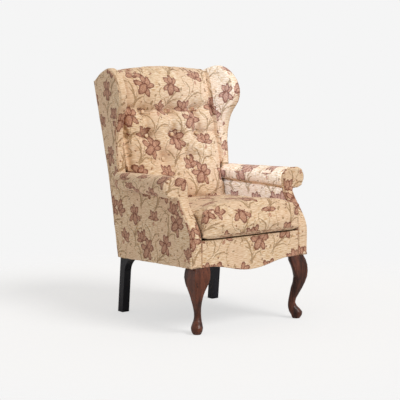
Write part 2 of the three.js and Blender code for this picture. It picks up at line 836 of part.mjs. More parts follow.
function padDepth(x, z, halfWidth) {
  const across = 1 - (x / halfWidth) ** 6;
  const tucked = padTuckIn * (1 - smooth(z, padBottomZ, padBottomZ + padTuckRise));
  let depth = padEdgeDepth + padCrown * across - tucked;
  const pull = Math.max(...buttons.map((button) => (
    Math.exp(-(((x - button.x) ** 2 + (z - button.y) ** 2) / tuftSpread ** 2))
  )));
  const fold = Math.max(...pleats.map((line) => Math.exp(-((distanceToLine(x, z, line) / pleatSpread) ** 2))));
  depth -= across > 0 ? Math.max(tuftDepth * pull, pleatDepth * fold) : 0;
  return depth;
}

function padHalfWidth(depth, z) {
  const besideArm = rollInnerX - armToeIn - softGap;
  const y = rearLine(z) - depth;
  const besideWing = wingPlane(y, z) - wingThick - softGap;
  if (z < wingFootZ - padTuckIn) return besideArm;
  const rollTopAtWing = rollHeight(wingFrontY(neckZ), rollTopZ);
  const narrower = Math.min(besideArm, besideWing);
  return THREE.MathUtils.lerp(narrower, besideWing, smooth(z, rollTopAtWing, rollTopAtWing + padTuckIn));
}

function padRow(z, backDepth, frontLimit) {
  const place = (x, depth) => atDepth(x, depth, z + archLift(x, z));
  const edgeDepth = Math.min(padEdgeDepth, frontLimit);
  const edgeHalf = padHalfWidth(edgeDepth, z);
  const backHalf = padHalfWidth(backDepth, z);
  const columnStep = buttonSpacing / columnsPerSpacing;
  const columns = Math.floor((archHalf - columnStep / 2) / columnStep);
  const front = Array.from({ length: 2 * columns + 1 }, (_, k) => {
    const x = (k - columns) * columnStep;
    return place((x * edgeHalf) / archHalf, Math.min(padDepth(x, z, archHalf), frontLimit));
  });
  const back = Array.from({ length: archColumns + 1 }, (_, i) => (
    place(backHalf * (1 - (2 * i) / archColumns), backDepth)
  ));
  return [...back, place(-edgeHalf, edgeDepth), ...front, place(edgeHalf, edgeDepth)];
}

function backPad() {
  const webFront = uprightFrontDepth + touch + webThick + touch;
  const fullDepth = padEdgeDepth + padCrown;
  const rowStep = buttonRowRise / rowsPerRise;
  const rows = [padRow(padBottomZ, webFront, fullDepth)];
  const lowest = Math.ceil((padBottomZ + rowStep / 2 - buttonMiddleZ) / rowStep);
  const highest = Math.floor((uprightTopZ - rowStep / 2 - buttonMiddleZ) / rowStep);
  const plainBelow = -2 * rowsPerRise;
  for (let k = lowest; k <= highest; k += k < plainBelow ? 2 : 1) {
    rows.push(padRow(buttonMiddleZ + k * rowStep, webFront, fullDepth));
  }
  rows.push(padRow(uprightTopZ + softGap, webFront, fullDepth));
  const topRows = 7;
  for (let k = 0; k <= topRows; k += 1) {
    const turn = Math.sin((Math.PI / 2) * (k / topRows));
    const z = THREE.MathUtils.lerp(uprightTopZ + softGap + touch, padTopZ, turn);
    const front = THREE.MathUtils.lerp(padRidgeDepth, fullDepth, Math.sqrt(1 - turn ** 2));
    const slope = THREE.MathUtils.clamp((z - padRearTopZ) / (padTopZ - padRearTopZ), 0, 1);
    rows.push(padRow(z, THREE.MathUtils.lerp(coverGap, padRidgeDepth - facingEase, slope), front));
  }
  return loft(rows);
}

function coveredButton(place) {
  const profile = [
    [0, 0], [buttonRadius * 0.9, 0], [buttonRadius, buttonThick * 0.3], [buttonRadius * 0.7, buttonThick * 0.85],
    [0, buttonThick],
  ].map(([radius, height]) => new THREE.Vector2(radius, height));
  const lean = Math.atan(lowerRakeShare + upperRakeShare);
  const depth = padDepth(place.x, place.y, archHalf) + buttonSeat;
  const seat = atDepth(place.x, depth, place.y);
  return closed(new THREE.LatheGeometry(profile, 10)).rotateX(Math.PI - lean)
    .translate(seat.x, seat.y, seat.z);
}

add('back_pad', backPad(), cloth);
buttons.forEach((place, i) => add(`back_button_${i + 1}`, coveredButton(place), cloth));

// Outside back, with the arched top edge of the crest
function outsideBack() {
  const half = bodyHalfRear - touch;
  return loft(levelsBetween(rearBottomZ, padRearTopZ, bendLevels).map((z) => {
    const across = Array.from({ length: archColumns + 1 }, (_, i) => half * ((2 * i) / archColumns - 1));
    const line = (depth) => across.map((x) => atDepth(x, depth, z + archLift(x, z)));
    return [...line(0), ...line(outerCover).reverse()];
  }));
}

add('outside_back', outsideBack(), cloth);
add('front_border', alongY(
  bowedOutline(facingInnerX - softGap, railTopZ + borderThick, bodyBottomZ),
  frontFaceY, frontFaceY + borderThick,
), cloth);

// Springs, deck and dust cover
const springZ = railTopZ + touch + springWire / 2;

const springSpacing = (2 * (armInnerX - armToeIn - springSideGap)) / springCount;

function zigZagSpring(x) {
  const front = postFrontY + railThick / 2;
  const rear = backRailFrontY + backRailThick / 2;
  const points = [];
  for (let bar = 0; bar < springBars; bar += 1) {
    const y = THREE.MathUtils.lerp(front, rear, bar / (springBars - 1));
    const side = bar % 2 === 0 ? 1 : -1;
    points.push(new THREE.Vector3(x - side * springHalfWidth, y, springZ));
    points.push(new THREE.Vector3(x + side * springHalfWidth, y, springZ));
  }
  const wire = Array.from({ length: 5 }, (_, k) => {
    const angle = (2 * Math.PI * k) / 5;
    return new THREE.Vector2(Math.cos(angle), Math.sin(angle)).multiplyScalar(springWire / 2);
  });
  const extrudePath = new THREE.CatmullRomCurve3(points, false, 'centripetal');
  const settings = { steps: springBars * 5, bevelEnabled: false, extrudePath };
  return sloped(closed(new THREE.ExtrudeGeometry(new THREE.Shape(wire), settings)));
}

for (let i = 0; i < springCount; i += 1) {
  add(`seat_spring_${i + 1}`, zigZagSpring((i - (springCount - 1) / 2) * springSpacing), steel);
}

function seatDeck() {
  const side = [postFrontY, scrollFrontY, backRailFrontY].map((y) => [armInnerAt(y) - deckGap, y]);
  const otherSide = side.map(([x, y]) => [-x, y]).reverse();
  return sloped(alongZ([...side, ...otherSide], deckBottomZ, deckTopZ));
}
add('seat_deck', seatDeck(), felt);

function dustCover() {
  const front = postFrontY + railThick + touch;
  const corner = legBlank;
  const half = uprightInnerX + postSize - touch;
  const rear = backRailFrontY + backRailThick / 2 - haunchReach;
  const outline = [
    [-half, front + corner], [corner - half, front], [half - corner, front], [half, front + corner],
    [rearLegInnerX + rearLegSize, rear - haunchReach], [rearLegInnerX - touch, rear - haunchReach],
    [rearLegInnerX - touch, backRailFrontY + backRailThick / 2],
    [touch - rearLegInnerX, backRailFrontY + backRailThick / 2],
    [touch - rearLegInnerX, rear - haunchReach], [-rearLegInnerX - rearLegSize, rear - haunchReach],
  ];
  return sloped(alongZ(outline, railBottomZ - touch - dustCoverThick, railBottomZ - touch));
}
add('dust_cover', dustCover(), cambric);

// Loose cushion: crowned on top, drawn in between its corners, flat underneath
function seatCushion() {
  const cushionFrontY = frontFaceY - cushionOverhang;
  const cushionRearY = padFootFrontY + padTuckIn - cushionGap / 2;
  const frontHalf = armInnerX - cushionGap;
  const half = new THREE.Vector3(frontHalf, (cushionRearY - cushionFrontY) / 2, cushionThick / 2);
  const block = closed(new THREE.BoxGeometry(2 * half.x, 2 * half.y, 2 * half.z, 12, 12, 4));
  const bottomZ = deckTopZ + touch;
  placed(block, (point) => {
    const [a, b, c] = [point.x / half.x, point.y / half.y, point.z / half.z];
    const core = point.clone().clamp(
      half.clone().subScalar(cushionEdgeRound).negate(), half.clone().subScalar(cushionEdgeRound),
    );
    const out = point.clone().sub(core);
    if (out.lengthSq() > 0) point.copy(core).add(out.setLength(Math.min(out.length(), cushionEdgeRound)));
    point.x -= Math.sign(a) * cushionDrawIn * Math.abs(a) * (1 - b ** 2) * (1 - c ** 2);
    if (b < 0) point.y -= cushionFrontBulge * Math.abs(b) * (1 - c ** 2) * (1 - a ** 4);
    point.x += a ** 3 * cushionCornerSpread * Math.max(-b, 0) ** 16;
    if (c > 0) point.z += cushionCrown * c * (1 - a ** 4) * (1 - b ** 4);
    point.y += (cushionRearY + cushionFrontY) / 2;
    point.z += half.z + bottomZ;
    point.x *= (armInnerAt(point.y) - cushionGap) / frontHalf;
  });
  return sloped(block);
}
add('seat_cushion', seatCushion(), cloth);

// Cabriole front leg: an arris down the outer corner, a pad foot, and a square block in the frame
function cabrioleLeg() {
  const points = 16;
  const rings = cabrioleShares.map(({ rise, outer, inner, half, arris }) => (
    Array.from({ length: points }, (_, k) => {
      const angle = (2 * Math.PI * k) / points;
      const [forward, across] = [Math.cos(angle), Math.sin(angle)];
      const spread = Math.abs(forward) + Math.abs(across);
      const sharp = forward > 0 ? arris : 0;
      const scale = THREE.MathUtils.lerp(1, 1 / spread, sharp);
      const middle = outer - half;
      const length = forward > 0 ? half : middle - inner;
      const u = legBlank * (middle + length * forward * scale);
      const v = legBlank * half * across * scale;
      const x = bodyHalfFront - footInsetX + (u + v) * Math.SQRT1_2;
      const y = frontFaceY + footInsetY + (v - u) * Math.SQRT1_2;
      const top = bodyBottomZ - touch;
      return new THREE.Vector3(x, y, rise * top - fallAt(y) * rise ** 4);
    })
  ));
  const shoulder = bodyBottomZ + legShoulder;
  const block = sloped(box(
    postInnerX, postOuterX, postFrontY, postFrontY + postSize, shoulder, railTopZ,
  ));
  const neck = sloped(box(
    postInnerX + legNeckInset, postOuterX - 3 * legNeckInset, postFrontY + legNeckInset,
    postFrontY + postSize - legNeckInset, bodyBottomZ - legNeckDip, shoulder + legNeckDip,
  ));
  return joined(loft(rings), block, neck);
}

function rearLeg() {
  const outline = new THREE.Shape();
  const top = rearBottomZ - touch;
  outline.moveTo(rearLegTopY + rearLegRake, 0);
  outline.lineTo(rearLegTopY + rearLegRake + rearLegSize, 0);
  outline.lineTo(rearLegTopY + rearLegSize, top);
  outline.lineTo(rearLegTopY - haunchReach, top);
  outline.quadraticCurveTo(
    rearLegTopY, top - haunchDrop / 3, rearLegTopY + (rearLegRake * haunchDrop) / top, top - haunchDrop,
  );
  const blank = alongX(outline, rearLegInnerX, rearLegInnerX + rearLegSize);
  return cut(blank, boltShaft(boltRadius + boltClearance, boltClearance));
}

addPair('front_leg', cabrioleLeg(), mahogany);
addPair('rear_leg', rearLeg(), ebonised);
addPair('rear_leg_bolt', boltShaft(boltRadius, 0), steel);

// The origin is on the floor under the middle of the chair
const extent = new THREE.Box3().setFromObject(chair);
chair.position.y = -(extent.min.y + extent.max.y) / 2;

export default chair;
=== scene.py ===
import math

import bmesh
import bpy
import numpy as np
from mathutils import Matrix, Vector, kdtree, noise

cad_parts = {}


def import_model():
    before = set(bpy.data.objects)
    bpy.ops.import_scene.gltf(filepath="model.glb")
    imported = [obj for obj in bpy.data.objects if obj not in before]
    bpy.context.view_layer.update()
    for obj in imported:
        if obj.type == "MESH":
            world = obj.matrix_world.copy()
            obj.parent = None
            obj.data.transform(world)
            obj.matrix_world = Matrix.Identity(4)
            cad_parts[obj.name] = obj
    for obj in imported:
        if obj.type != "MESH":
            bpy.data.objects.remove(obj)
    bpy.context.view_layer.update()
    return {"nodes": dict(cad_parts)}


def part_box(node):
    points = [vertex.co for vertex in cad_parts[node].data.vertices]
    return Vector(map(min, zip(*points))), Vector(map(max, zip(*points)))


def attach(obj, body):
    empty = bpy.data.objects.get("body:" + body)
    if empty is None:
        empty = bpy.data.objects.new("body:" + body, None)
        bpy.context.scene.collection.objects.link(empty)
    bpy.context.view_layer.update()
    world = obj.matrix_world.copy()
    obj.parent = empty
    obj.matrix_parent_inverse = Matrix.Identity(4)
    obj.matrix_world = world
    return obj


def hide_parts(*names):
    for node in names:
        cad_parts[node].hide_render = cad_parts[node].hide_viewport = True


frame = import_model()
nodes = frame["nodes"]
scene = bpy.context.scene

# Room
# A plain pale floor that fades into the background, and a camera at the photograph's angle.
# The floor shows its shadow to the camera over an even paper white.
paper_white = 0.913
floor_radius = 5.0
floor_rim_points = 96
floor_fade_start = 1.0
floor_fade_end = 1.9
floor_own_glow = 0.602
floor_seen_colour = 0.35
floor_bounce_colour = 0.8
world_strength = 0.5
world_colour = (1.0, 0.965, 0.92, 1.0)
look_at = Vector((-0.0301, -0.0524, 0.5042))
camera_turn = math.radians(-37.1)
camera_rise = math.radians(7.3)
camera_distance = 6.021
sensor_width = 36.0
lens_length = 125.99


class Recipe:
    """Adds nodes to one material or group and joins them, so that a finish reads as its steps."""

    def __init__(self, tree):
        self.tree = tree

    def add(self, kind, settings=None, **values):
        made = self.tree.nodes.new(kind)
        for name, value in (settings or {}).items():
            setattr(made, name, value)
        for name, value in values.items():
            self.feed(made.inputs[name.replace("_", " ")], value)
        return made

    def feed(self, socket, value):
        if isinstance(value, bpy.types.NodeSocket):
            self.tree.links.new(value, socket)
        else:
            socket.default_value = value

    def fill(self, made, *values):
        """Feeds a node's inputs in their own order."""
        for socket, value in zip(made.inputs, values):
            self.feed(socket, value)
        return made.outputs

    def use(self, group, **values):
        return self.add("ShaderNodeGroup", {"node_tree": group}, **values).outputs

    def give(self, out, **values):
        for name, value in values.items():
            self.feed(out[name], value)

    def calc(self, operation, *values):
        return self.fill(self.add("ShaderNodeMath", {"operation": operation}), *values)[0]

    def vector(self, operation, *values):
        outputs = self.fill(self.add("ShaderNodeVectorMath", {"operation": operation}), *values)
        return outputs["Value" if operation == "LENGTH" else "Vector"]

    def sides(self, vector):
        return self.add("ShaderNodeSeparateXYZ", Vector=vector).outputs

    def join(self, x, y, z=0.0):
        return self.add("ShaderNodeCombineXYZ", X=x, Y=y, Z=z).outputs[0]

    def mix(self, share, first, second):
        return self.fill(self.add("ShaderNodeMixShader"), share, first, second)[0]

    def blend(self, share, under, over):
        made = self.add("ShaderNodeMix", {"data_type": "RGBA"})
        for index, value in ((0, share), (6, under), (7, over)):
            self.feed(made.inputs[index], value)
        return made.outputs[2]

    def ramp(self, value, low, high, to_low=0.0, to_high=1.0, kind="SMOOTHSTEP"):
        made = self.add("ShaderNodeMapRange", {"interpolation_type": kind})
        return self.fill(made, value, low, high, to_low, to_high)[0]

    def noise(self, place, scale, detail=2.0, roughness=0.5):
        made = self.add("ShaderNodeTexNoise", Vector=place, Scale=scale, Detail=detail)
        made.inputs["Roughness"].default_value = roughness
        return made.outputs

    def bump(self, height, distance, strength):
        made = self.add("ShaderNodeBump", Height=height)
        made.inputs["Distance"].default_value = distance
        made.inputs["Strength"].default_value = strength
        return made.outputs[0]


def grey(level):
    return (level, level, level, 1.0)


def surface(name):
    """A new material with only its output node in it, and the recipe that fills it."""
    material = bpy.data.materials.new(name)
    material.use_nodes = True
    material.node_tree.nodes.clear()
    steps = Recipe(material.node_tree)
    steps.output = steps.add("ShaderNodeOutputMaterial").inputs["Surface"]
    return material, steps


def floor_material():
    material, steps = surface("pale_floor")
    by_camera = steps.add("ShaderNodeLightPath").outputs["Is Camera Ray"]
    reach = steps.vector("LENGTH", steps.add("ShaderNodeTexCoord").outputs["Object"])
    faded = steps.calc("MULTIPLY", steps.ramp(reach, floor_fade_start, floor_fade_end), by_camera)
    lit = steps.add("ShaderNodeBsdfDiffuse", Color=grey(floor_seen_colour)).outputs[0]
    glow = steps.add("ShaderNodeEmission", Color=grey(floor_own_glow)).outputs[0]
    seen = steps.fill(steps.add("ShaderNodeAddShader"), lit, glow)[0]
    bounce = steps.add("ShaderNodeBsdfDiffuse", Color=grey(floor_bounce_colour)).outputs[0]
    clear = steps.add("ShaderNodeBsdfTransparent").outputs[0]
    near = steps.mix(by_camera, bounce, seen)
    steps.feed(steps.output, steps.mix(faded, near, clear))
    return material


def link(name, data):
    made = bpy.data.objects.new(name, data)
    scene.collection.objects.link(made)
    return made


def floor():
    turns = np.linspace(0, 2 * math.pi, floor_rim_points, endpoint=False)
    rim = [(floor_radius * math.cos(a), floor_radius * math.sin(a), 0) for a in turns]
    mesh = bpy.data.meshes.new("pale_floor")
    mesh.from_pydata(rim, [], [tuple(range(floor_rim_points))])
    mesh.materials.append(floor_material())
    piece = link("pale_floor", mesh)


def world():
    scene.world = bpy.data.worlds.new("studio")
    scene.world.use_nodes = True
    scene.world.node_tree.nodes.clear()
    steps = Recipe(scene.world.node_tree)
    rays = steps.add("ShaderNodeLightPath").outputs
    seen = steps.calc("MAXIMUM", rays["Is Camera Ray"], rays["Is Glossy Ray"])
    seen = steps.calc("MAXIMUM", seen, rays["Is Transmission Ray"])
    light = steps.add("ShaderNodeBackground", Color=world_colour, Strength=world_strength)
    paper = steps.add("ShaderNodeBackground", Color=grey(paper_white))
    both = steps.mix(seen, light.outputs[0], paper.outputs[0])
    steps.feed(steps.add("ShaderNodeOutputWorld").inputs["Surface"], both)


def camera():
    flat = math.cos(camera_rise)
    ahead = -math.cos(camera_turn) * flat
    away = Vector((math.sin(camera_turn) * flat, ahead, math.sin(camera_rise)))
    made = link("camera", bpy.data.cameras.new("camera"))
    made.data.sensor_width = sensor_width
    made.data.lens = lens_length
    made.location = look_at + away * camera_distance
    made.rotation_euler = away.to_track_quat("Z", "Y").to_euler()
    scene.camera = made


scene.view_settings.view_transform = "Standard"
floor()
world()
camera()

# Lamps
# A wide soft sun from the front and the sitter's left, a cool softbox from the other side for
# the far wing and arm, and a soft spot that pales the far side of the back pad. The last two
# light only the pieces that their sections add to them.
sun_from = Vector((0.28, -0.80, 1.0))
sun_strength = 1.8
sun_softness = math.radians(28)
sun_colour = (1.0, 0.985, 0.97)
softbox_place = Vector((-1.75, -1.00, 2.0))
softbox_aim = Vector((0.2, 0.0, 0.8))
softbox_watts = 92.0
softbox_size = 1.0
softbox_colour = (0.50, 0.68, 0.96)
spot_place = Vector((0.35, -2.0, 1.25))
spot_aim = Vector((0.30, 0.15, 0.85))
spot_watts = 80.0
spot_angle = math.radians(24)
spot_softness = 1.0
spot_colour = (0.46, 0.68, 1.0)


def lamp(name, kind, place, aim, strength, colour):
    light = bpy.data.lights.new(name, kind)
    light.energy = strength
    light.color = colour
    made = link(name, light)
    made.location = place
    made.rotation_euler = (place - aim).to_track_quat("Z", "Y").to_euler()
    return made


def only_for(light):
    """The collection of the only pieces that a lamp lights. Their sections put them into it."""
    pieces = bpy.data.collections.new(f"{light.name}_pieces")
    light.light_linking.receiver_collection = pieces
    return pieces


sun = lamp("sun", "SUN", sun_from, Vector(), sun_strength, sun_colour)
sun.data.angle = sun_softness
softbox = lamp("softbox", "AREA", softbox_place, softbox_aim, softbox_watts, softbox_colour)
softbox.data.size = softbox_size
softbox_pieces = only_for(softbox)
spot = lamp("pad_spot", "SPOT", spot_place, spot_aim, spot_watts, spot_colour)
spot.data.spot_size = spot_angle
spot.data.spot_blend = spot_softness
spot_pieces = only_for(spot)

# Beech frame
# Rails, posts, uprights and corner blocks of planed beech, dowelled and glued. The CAD
# solids keep their shape; the finish has pale heartwood, short flecks and a light grain relief.
beech_pale = "#dcbd90"
beech_deep = "#b98f5c"
beech_fleck = "#8f673c"
beech_rough = 0.62
grain_across = 34.0
grain_along = 2.6
grain_detail = 4.0
grain_roughness = 0.6
figure_start = 0.3
figure_full = 0.7
fleck_across = 420.0
fleck_along = 60.0
fleck_start = 0.6
fleck_full = 0.72
deep_rough_share = 1.25
coat_rough = 0.12
wood_specular = 0.2
grain_bump = 0.0004
grain_bump_strength = 0.5


def tint(code):
    """A colour written as #rrggbb, as the shader wants it."""
    parts = [int(code[i : i + 2], 16) / 255 for i in (1, 3, 5)]
    linear = [c / 12.92 if c <= 0.04045 else ((c + 0.055) / 1.055) ** 2.4 for c in parts]
    return (*linear, 1.0)


def effect(name, takes, gives):
    """A node group with named inputs and outputs, and the recipe that fills it."""
    group = bpy.data.node_groups.new(name, "ShaderNodeTree")
    for label, (kind, value) in takes.items():
        socket = group.interface.new_socket(label, in_out="INPUT", socket_type="NodeSocket" + kind)
        socket.default_value = value
    for label, kind in gives.items():
        group.interface.new_socket(label, in_out="OUTPUT", socket_type="NodeSocket" + kind)
    steps = Recipe(group)
    return group, steps, steps.add("NodeGroupInput").outputs, steps.add("NodeGroupOutput").inputs


def grain_effect():
    """Wood figure and flecks, drawn out along one direction."""
    even = ("Vector", (1, 1, 1))
    takes = {"Place": ("Vector", (0, 0, 0)), "Stretch": even, "Flecks": even}
    gives = {"Figure": "Float", "Fleck": "Float", "Height": "Float"}
    group, steps, have, out = effect("wood_grain", takes, gives)
    drawn = steps.vector("MULTIPLY", have["Place"], have["Stretch"])
    figure = steps.noise(drawn, 1.0, grain_detail, grain_roughness)[0]
    pores = steps.noise(steps.vector("MULTIPLY", have["Place"], have["Flecks"]), 1.0, 1.0)[0]
    fleck = steps.ramp(pores, fleck_start, fleck_full)
    steps.give(out, Figure=steps.ramp(figure, figure_start, figure_full), Fleck=fleck,
               Height=steps.calc("SUBTRACT", figure, fleck))
    return group


wood_grain = grain_effect()


def along(axis, slow, fast):
    """A stretch that is slow along one axis and fast across it."""
    return tuple(slow if i == axis else fast for i in range(3))


def wood(name, axis, pale, deep, fleck_colour, rough, gloss=0.0):
    material, steps = surface(name)
    place = steps.add("ShaderNodeTexCoord").outputs["Object"]
    grain = steps.use(wood_grain, Place=place, Stretch=along(axis, grain_along, grain_across),
                      Flecks=along(axis, fleck_along, fleck_across))
    colour = steps.blend(grain["Figure"], tint(pale), tint(deep))
    colour = steps.blend(grain["Fleck"], colour, tint(fleck_colour))
    shine = steps.ramp(grain["Figure"], 0.0, 1.0, rough, rough * deep_rough_share)
    shader = steps.add("ShaderNodeBsdfPrincipled", Base_Color=colour, Roughness=shine)
    shader.inputs["Coat Weight"].default_value = gloss
    shader.inputs["Coat Roughness"].default_value = coat_rough
    shader.inputs["Specular IOR Level"].default_value = wood_specular
    normal = steps.bump(grain["Height"], grain_bump, grain_bump_strength)
    steps.feed(shader.inputs["Normal"], normal)
    steps.feed(steps.output, shader.outputs[0])
    return material


def finish_node(name, material):
    """A CAD solid keeps its shape and takes the material."""
    node = nodes[name]
    node.data.materials.clear()
    node.data.materials.append(material)


def both_sides(*names):
    return [f"{name}_{side}" for name in names for side in ("left", "right")]


beech_run = [
    wood(f"beech_{'xyz'[axis]}", axis, beech_pale, beech_deep, beech_fleck, beech_rough)
    for axis in range(3)
]
cross_rails = ["front_rail", "back_rail", "crest_rail", "back_tacking_rail"]
long_rails = both_sides("side_rail", "arm_rail", "wing_rail")
blocks = both_sides("front_corner_block", "rear_corner_block")
standing = both_sides("back_upright", "wing_post", "arm_post")
for axis, group in enumerate((cross_rails + blocks, long_rails, standing)):
    for name in group:
        finish_node(name, beech_run[axis])

# Springs and bolts
# Zig-zag seat springs of drawn steel wire, clipped to the front and back rails, and the two
# bolts that hold the rear legs. Bare steel with a light oil film and a few duller patches.
steel_colour = "#8d9095"
steel_dull = "#5c5a58"
steel_rough = 0.3
steel_dull_rough = 0.55
dull_scale = 38.0
dull_detail = 3.0
dull_start = 0.48
dull_full = 0.66


def steel():
    material, steps = surface("drawn_steel")
    place = steps.add("ShaderNodeTexCoord").outputs["Object"]
    dull = steps.ramp(steps.noise(place, dull_scale, dull_detail)[0], dull_start, dull_full)
    colour = steps.blend(dull, tint(steel_colour), tint(steel_dull))
    rough = steps.ramp(dull, 0.0, 1.0, steel_rough, steel_dull_rough)
    shader = steps.add("ShaderNodeBsdfPrincipled", Base_Color=colour, Roughness=rough)
    shader.inputs["Metallic"].default_value = 1.0
    steps.feed(steps.output, shader.outputs[0])
    return material


bare_steel = steel()
for name in [f"seat_spring_{i}" for i in range(1, 5)] + both_sides("rear_leg_bolt"):
    finish_node(name, bare_steel)

# Webs, seat deck and dust cover
# Three dark webs cross the back between the uprights, a felt and cloth deck lies on the
# springs, and black cambric is tacked under the rails.
web_colour = "#3a352e"
web_thread = "#57503f"
web_stripe = "#75604a"
felt_colour = "#a8916c"
felt_dark = "#6b4f30"
cambric_colour = "#1c1c1e"
cambric_light = "#303033"
web_threads = 900.0
felt_threads = 700.0
cambric_threads = 1400.0
web_stripes = 420.0
stripe_start = 0.8
stripe_full = 0.95
fuzz_share = 0.1
fuzz_detail = 3.0
fuzz_start = 0.3
fuzz_full = 0.8
coarse_rough = 0.95
coarse_bump = 0.0004
coarse_bump_strength = 0.6
longest_edge = 0.03
weld_distance = 1e-6
dust_sag = 0.006
skin_voxel = 0.004
ease_factor = 0.5


def coarse_cloth(name, base, other, scale, stripes=0.0):
    """A plain open weave: threads over and under, with a little unevenness."""
    material, steps = surface(name)
    place = steps.add("ShaderNodeTexCoord").outputs["Object"]
    fuzz = steps.noise(place, scale * fuzz_share, fuzz_detail)[0]
    threads = steps.add("ShaderNodeTexChecker", Vector=place, Scale=scale).outputs["Fac"]
    mask = steps.calc("MULTIPLY", threads, steps.ramp(fuzz, fuzz_start, fuzz_full))
    colour = steps.blend(mask, tint(base), tint(other))
    if stripes:
        wave = steps.calc("SINE", steps.calc("MULTIPLY", steps.sides(place)["Z"], stripes))
        colour = steps.blend(steps.ramp(wave, stripe_start, stripe_full), colour, tint(web_stripe))
    shader = steps.add("ShaderNodeBsdfPrincipled", Base_Color=colour)
    shader.inputs["Roughness"].default_value = coarse_rough
    height = steps.calc("ADD", threads, fuzz)
    steps.feed(shader.inputs["Normal"], steps.bump(height, coarse_bump, coarse_bump_strength))
    steps.feed(steps.output, shader.outputs[0])
    return material


def finer_copy(name, node):
    """A new mesh in the shape of a CAD solid, cut up until no edge is long."""
    shape = bmesh.new()
    shape.from_mesh(nodes[node].data)
    bmesh.ops.remove_doubles(shape, verts=shape.verts, dist=weld_distance)
    while True:
        long = [e for e in shape.edges if e.calc_length() > longest_edge]
        if not long:
            break
        bmesh.ops.subdivide_edges(shape, edges=long, cuts=1)
        bmesh.ops.triangulate(shape, faces=shape.faces)
    mesh = bpy.data.meshes.new(name)
    shape.to_mesh(mesh)
    shape.free()
    return link(name, mesh)


def array_of(items, label):
    """One property of all the items, as an array with a row for each."""
    flat = np.empty(len(items) * 3)
    items.foreach_get(label, flat)
    return flat.reshape(-1, 3)


def points_of(piece):
    return array_of(piece.data.vertices, "co")


def normals_of(piece):
    return array_of(piece.data.vertex_normals, "vector")


def move_points(piece, points):
    piece.data.vertices.foreach_set("co", points.ravel())
    piece.data.update()


def fit(piece, node, material, body="chair"):
    """The piece stands for its CAD solid, rides on its body and takes its finish."""
    piece.data.materials.clear()
    piece.data.materials.append(material)
    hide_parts(node)
    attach(piece, body)
    return piece


web_cloth = coarse_cloth("jute_web", web_colour, web_thread, web_threads, web_stripes)
for i in range(1, 4):
    node = f"back_web_{i}"
    web = fit(finer_copy(f"web_strap_{i}", node), node, web_cloth)

cambric = coarse_cloth("black_cambric", cambric_colour, cambric_light, cambric_threads)
dust = finer_copy("dust_cloth", "dust_cover")
dust_points = points_of(dust)
dust_low, dust_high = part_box("dust_cover")
dust_middle = (dust_low + dust_high) / 2
dust_half = (dust_high - dust_low) / 2
inset = 1 - np.clip(
    np.maximum(abs(dust_points[:, 0] - dust_middle.x) / dust_half.x,
               abs(dust_points[:, 1] - dust_middle.y) / dust_half.y), 0, 1)
dust_points[:, 2] -= dust_sag * np.sin(np.clip(inset * 2, 0, 1) * math.pi / 2)
move_points(dust, dust_points)
fit(dust, "dust_cover", cambric)


def apply_modifiers(piece):
    scene.view_layers[0].update()
    solved = piece.evaluated_get(bpy.context.evaluated_depsgraph_get())
    mesh = bpy.data.meshes.new_from_object(solved)
    piece.modifiers.clear()
    piece.data = mesh


def cover(name, node, voxel, ease=3, keep=1.0):
    """A new skin over a CAD solid: even faces, with its edges eased as cloth would ease them."""
    piece = link(name, nodes[node].data.copy())
    even = piece.modifiers.new("even", "REMESH")
    even.mode = "VOXEL"
    even.voxel_size = voxel
    soft = piece.modifiers.new("ease", "SMOOTH")
    soft.factor = ease_factor
    soft.iterations = ease
    if keep < 1:
        fewer = piece.modifiers.new("fewer", "DECIMATE")
        fewer.ratio = keep
    apply_modifiers(piece)
    piece.data.shade_smooth()
    return piece


felt = coarse_cloth("deck_felt", felt_colour, felt_dark, felt_threads)
deck = fit(cover("deck_pad", "seat_deck", skin_voxel), "seat_deck", felt)

# Cloth
# A cream and gold cloth with thick slubs across it and a woven print of loose flower sprigs:
# mauve brown blooms with dark edges, thin tan stems and narrow leaves, in a half-drop repeat.
ground_cream = "#f7e5cb"
ground_gold = "#cda26f"
ground_rose = "#e5c2a4"
slub_shadow = "#a37547"
bloom_light = "#cc9a80"
bloom_dark = "#672819"
leaf_light = "#c0a078"
leaf_dark = "#866549"
bud_colour = "#94684e"
repeat_size = (0.232, 0.258, 1.0)
sprig_turn_range = 1.6
sprig_jitter = 0.036
wobble_size = 0.007
wobble_scale = 42.0
wobble_detail = 3.0
ruffle_size = 0.0042
ruffle_scale = 150.0
ruffle_detail = 2.0
petal_edge = 0.06
rim_start = 0.35
rim_full = 0.93
vein_half_width = 0.22
vein_share = 0.5
mottle_scale = 210.0
mottle_start = 0.46
mottle_full = 0.6
mottle_share = 0.45
leaf_tone_scale = 60.0
stem_taper = 0.04
dot_scale = 17.0
dot_rim = 0.085
dot_core = 0.06
dot_skipped_share = 0.45
worn_scale = 240.0
worn_start = 0.42
worn_full = 0.72
worn_share = 0.45
slub_across = 42.0
slub_up = 360.0
slub_detail = 3.0
slub_roughness = 0.65
slub_start = 0.32
slub_full = 0.68
fine_across = 260.0
fine_up = 900.0
fine_share = 0.5
rosy_scale = 5.0
rosy_start = 0.35
rosy_full = 0.65
rosy_share = 0.5
shadow_start = 0.7
shadow_share = 0.35
cloth_rough = 0.86
cloth_specular = 0.25
sheen_weight = 0.12
sheen_rough = 0.5
weave_bump = 0.0012
weave_bump_strength = 0.55
seam_depth = 0.0022
seam_width = 0.0045
seam_swell_at = 2.4
seam_swell_share = 0.45
edge_reach = 0.02
back_shift = (0.31, 0.11)
under_shift = (0.1, 0.2)
left_shift = (0.17, 0.05)
right_shift = (0.07, 0.13)
wave_height = 0.0012
wave_length = 0.07


def placed(steps, have):
    """The place as one petal, bud or bloom sees it, in shares of its size."""
    made = steps.add("ShaderNodeMapping", {"vector_type": "TEXTURE"}, Vector=have["Place"],
                     Location=have["Root"], Rotation=have["Turn"], Scale=have["Size"])
    return made.outputs[0]


